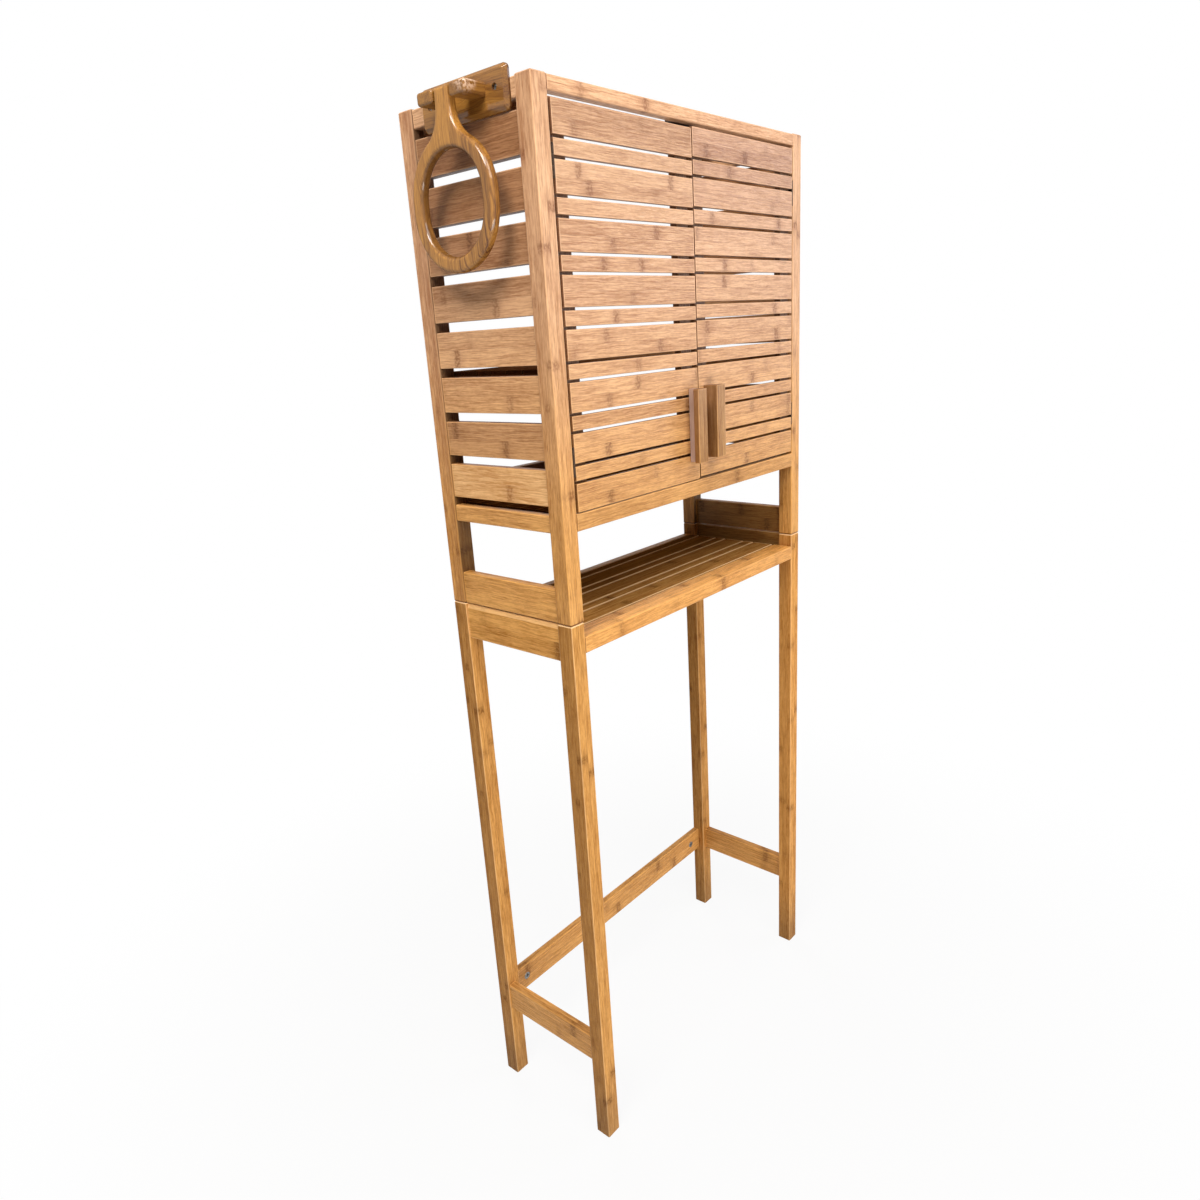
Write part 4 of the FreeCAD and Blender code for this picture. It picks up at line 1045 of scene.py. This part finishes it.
print("grip screws found:", len(lumps("left_grip_screws")))

# %% Draw a head with a cross recess
RIM_POINTS = 48
SCREW_CROSS = (0.56, 0.13)
CAM_CROSS = (0.70, 0.22)
CROSS_TAPER = 0.62


def cross_outline(radius, shares):
    reach, half = (radius * share for share in shares)
    quarter = [(reach, -half), (reach, half), (half, half)]
    points = []
    for turn in range(4):
        for x, y in quarter:
            for _ in range(turn):
                x, y = -y, x
            points.append((x, y))
    return points


def add_head(mesh, place, facing, profile, recess_depth, shares=SCREW_CROSS):
    """profile holds radius and height pairs from the top's rim downwards, the first one at the face."""
    turn = Vector(facing).to_track_quat("Z", "Y")

    def loop(points, height):
        return [mesh.verts.new(Vector(place) + turn @ Vector((x, y, height))) for x, y in points]

    def circle(radius):
        angles = [2 * math.pi * step / RIM_POINTS for step in range(RIM_POINTS)]
        return [(radius * math.cos(angle), radius * math.sin(angle)) for angle in angles]

    def skin(upper, lower):
        for step in range(len(upper)):
            after = (step + 1) % len(upper)
            mesh.faces.new((upper[step], lower[step], lower[after], upper[after]))

    radius, top = profile[0]
    cross = cross_outline(radius, shares)
    mouth = loop(cross, top)
    rim = loop(circle(radius), top)
    rings = [mouth, rim]
    edges = []
    for ring in rings:
        edges += [mesh.edges.new((ring[step], ring[step - 1])) for step in range(len(ring))]
    bmesh.ops.triangle_fill(mesh, edges=edges, use_beauty=True, normal=turn @ Vector((0, 0, 1)))
    bottom = loop([(x * CROSS_TAPER, y * CROSS_TAPER) for x, y in cross], top - recess_depth)
    skin(bottom, mouth)
    mesh.faces.new(bottom)
    above = rim
    for radius, height in profile[1:]:
        below = loop(circle(radius), height)
        skin(above, below)
        above = below
    mesh.faces.new(list(reversed(above)))


def finish_piece(name, mesh, body, material):
    bmesh.ops.recalc_face_normals(mesh, faces=mesh.faces)
    data = bpy.data.meshes.new(name)
    mesh.to_mesh(data)
    mesh.free()
    data.materials.append(material)
    item = bpy.data.objects.new(name, data)
    bpy.context.collection.objects.link(item)
    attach(item, body)
    return item


# %% Wood screws
HEAD_EASE = 0.0005
HEAD_THICK = 0.0024
SCREW_RECESS = 0.0016


def axis_vector(axis, side):
    vector = [0.0, 0.0, 0.0]
    vector[axis] = side
    return vector


def add_screw(mesh, low, high, axis, side, sunk):
    """A wood screw in the box of its lump; its head is at the low (-1) or high (+1) end of the axis."""
    place = (low + high) / 2
    place[axis] = high[axis] - sunk if side > 0 else low[axis] + sunk
    radius = (high[2] - low[2]) / 2
    length = high[axis] - low[axis] - sunk
    profile = [
        (radius - 3 * HEAD_EASE, 0.0), (radius - HEAD_EASE, -HEAD_EASE / 2), (radius, -2 * HEAD_EASE),
        (radius, -HEAD_THICK), (radius / 2, -HEAD_THICK), (radius / 2, -length)]
    add_head(mesh, place, axis_vector(axis, side), profile, SCREW_RECESS)


WOOD_SCREWS = {
    # new piece: replaced node, body, axis, side of the head, how deep it is sunk, its metal
    "ring_plate_screws": ("ring_screws", "frame", 0, -1, 0.0012, CAST_ZINC),
    "left_grip_wood_screws": ("left_grip_screws", "left_door", 1, 1, 0.0, STEEL),
    "right_grip_wood_screws": ("right_grip_screws", "right_door", 1, 1, 0.0, STEEL),
}
for name, (node, body, axis, side, sunk, metal) in WOOD_SCREWS.items():
    mesh = bmesh.new()
    for low, high in lumps(node):
        add_screw(mesh, low, high, axis, side, sunk)
    screws = finish_piece(name, mesh, body, metal)
    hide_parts(node)
    print(screws.name, len(screws.data.polygons), "faces")

# %% [markdown]
# Cam locks
#
# The rails are drawn tight to the posts by cam locks: cast discs sunk flush in a rail's hidden
# side, turned by a driver. The disc has an eased rim and a flat face with a deep, wide cross, and
# it is dull from casting. A lathe profile with a wider cross than the screws' makes it, and each
# disc faces out of the rail that it sits in: to the front in the back rails, to the back in the
# front rails, and down in the shelf's front board.

# %% Cam discs
RIM_EASE = 0.0006
CAM_RECESS = 0.0030
mesh = bmesh.new()
for low, high in lumps("cam_locks"):
    size = high - low
    place = (low + high) / 2
    axis = 1 if abs(size[1] - size[0]) > abs(size[2] - size[0]) else 2
    side = 1 if axis == 1 and place[1] < 0 else -1
    place[axis] = high[axis] if side > 0 else low[axis]
    radius = size[0] / 2
    profile = [
        (radius - 2 * RIM_EASE, 0.0), (radius - RIM_EASE / 2, -RIM_EASE / 2),
        (radius, -2 * RIM_EASE), (radius, -size[axis])]
    add_head(mesh, place, axis_vector(axis, side), profile, CAM_RECESS, CAM_CROSS)
discs = finish_piece("cam_lock_discs", mesh, "frame", CAST_ZINC)
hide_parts("cam_locks")
print(discs.name, len(discs.data.polygons), "faces")

# %% [markdown]
# Hinge screws
#
# Each hinge leaf is held by two small screws. They show when a door stands open. Their heads lie
# on the leaf, low enough to clear the other leaf when the door is shut, so they are flat
# buttons with a shallow cross. Each one is placed from the box of its own leaf.

# %% Hinge screw heads
BUTTON_RADIUS = 0.0026
BUTTON_HIGH = 0.00045
BUTTON_RECESS = 0.00035
BUTTON_TOP_SHARE = 0.8
LEAF_THICK = 0.001
LEAF_SETBACK = 0.0085
SCREW_RISE_SHARE = 0.30
HINGE_SIDES = {
    # new piece: node of the leaves, body, and whether the leaf lies on the door
    "hinge_frame_screws": ("hinge_frame_leaves", "frame", False),
    "left_hinge_door_screws": ("left_hinge_door_leaves", "left_door", True),
    "right_hinge_door_screws": ("right_hinge_door_leaves", "right_door", True),
}


def button_profile(radius, high):
    """A low head: a flat top, an eased rim and a straight side."""
    return [(radius * BUTTON_TOP_SHARE, high), (radius, high * 0.5), (radius, 0.0)]


for name, (node, body, on_door) in HINGE_SIDES.items():
    mesh = bmesh.new()
    profile = button_profile(BUTTON_RADIUS, BUTTON_HIGH)
    for low, high in lumps(node):
        left_side = low[0] < 0
        outward = 1 if left_side != on_door else -1
        face = low[0] + LEAF_THICK if outward > 0 else high[0] - LEAF_THICK
        for share in (-SCREW_RISE_SHARE, SCREW_RISE_SHARE):
            rise = (low[2] + high[2]) / 2 + share * (high[2] - low[2])
            place = (face, high[1] - LEAF_SETBACK, rise)
            add_head(mesh, place, (outward, 0, 0), profile, BUTTON_RECESS)
    buttons = finish_piece(name, mesh, body, CAST_ZINC)
    print(buttons.name, len(buttons.data.polygons), "faces")

# %% [markdown]
# Pole plates of the door catch
#
# The catch is a moulded block with a magnet for each door. The magnet itself stays hidden: two
# thin steel plates at its sides carry the pull to the strike on the door, and their edges show
# as bright bars. They stand a hair proud of the block, so that steel meets steel, but leave room
# for the door to shut. Each bar is a cube, stretched to size and bevelled, placed from the box
# of its strike plate. Two flat screws hold the block to the rail, and their heads face the wall.

# %% Catch bars and screws
STRIKE_CLEARANCE = 0.00015
BAR_DEEP = 0.0020
BAR_THICK = 0.0018
BAR_SPACING = 0.0070
BAR_EASE = 0.0003
CATCH_SCREW_RADIUS = 0.0030
CATCH_SCREW_HIGH = 0.0009
CATCH_SCREW_RECESS = 0.0007
CATCH_SCREW_SPREAD = 0.0150
CATCH_SCREW_DROP = 0.0120


def add_bar(mesh, low, high, ease):
    """A bar with bevelled edges between two corners."""
    size = high - low
    made = bmesh.ops.create_cube(mesh, size=1.0)["verts"]
    for vert in made:
        vert.co = (low + high) / 2 + Vector([part * extent for part, extent in zip(vert.co, size)])
    edges = {edge for vert in made for edge in vert.link_edges}
    bmesh.ops.bevel(mesh, geom=list(edges), offset=ease, segments=2, profile=0.5, affect="EDGES")


mesh = bmesh.new()
for side in ("left", "right"):
    low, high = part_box(side + "_strike_plate")
    face = high[1] + STRIKE_CLEARANCE
    middle = (low[2] + high[2]) / 2
    for rise in (middle - BAR_SPACING / 2, middle + BAR_SPACING / 2):
        corner = Vector((low[0] + BAR_THICK, face, rise - BAR_THICK / 2))
        opposite = Vector((high[0] - BAR_THICK, face + BAR_DEEP, rise + BAR_THICK / 2))
        add_bar(mesh, corner, opposite, BAR_EASE)
low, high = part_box("door_catch")
profile = button_profile(CATCH_SCREW_RADIUS, CATCH_SCREW_HIGH)
for spread in (-CATCH_SCREW_SPREAD, CATCH_SCREW_SPREAD):
    place = ((low[0] + high[0]) / 2 + spread, high[1], high[2] - CATCH_SCREW_DROP)
    add_head(mesh, place, (0, 1, 0), profile, CATCH_SCREW_RECESS)
bars = finish_piece("catch_pole_plates", mesh, "frame", STEEL)
print(bars.name, len(bars.data.polygons), "faces")
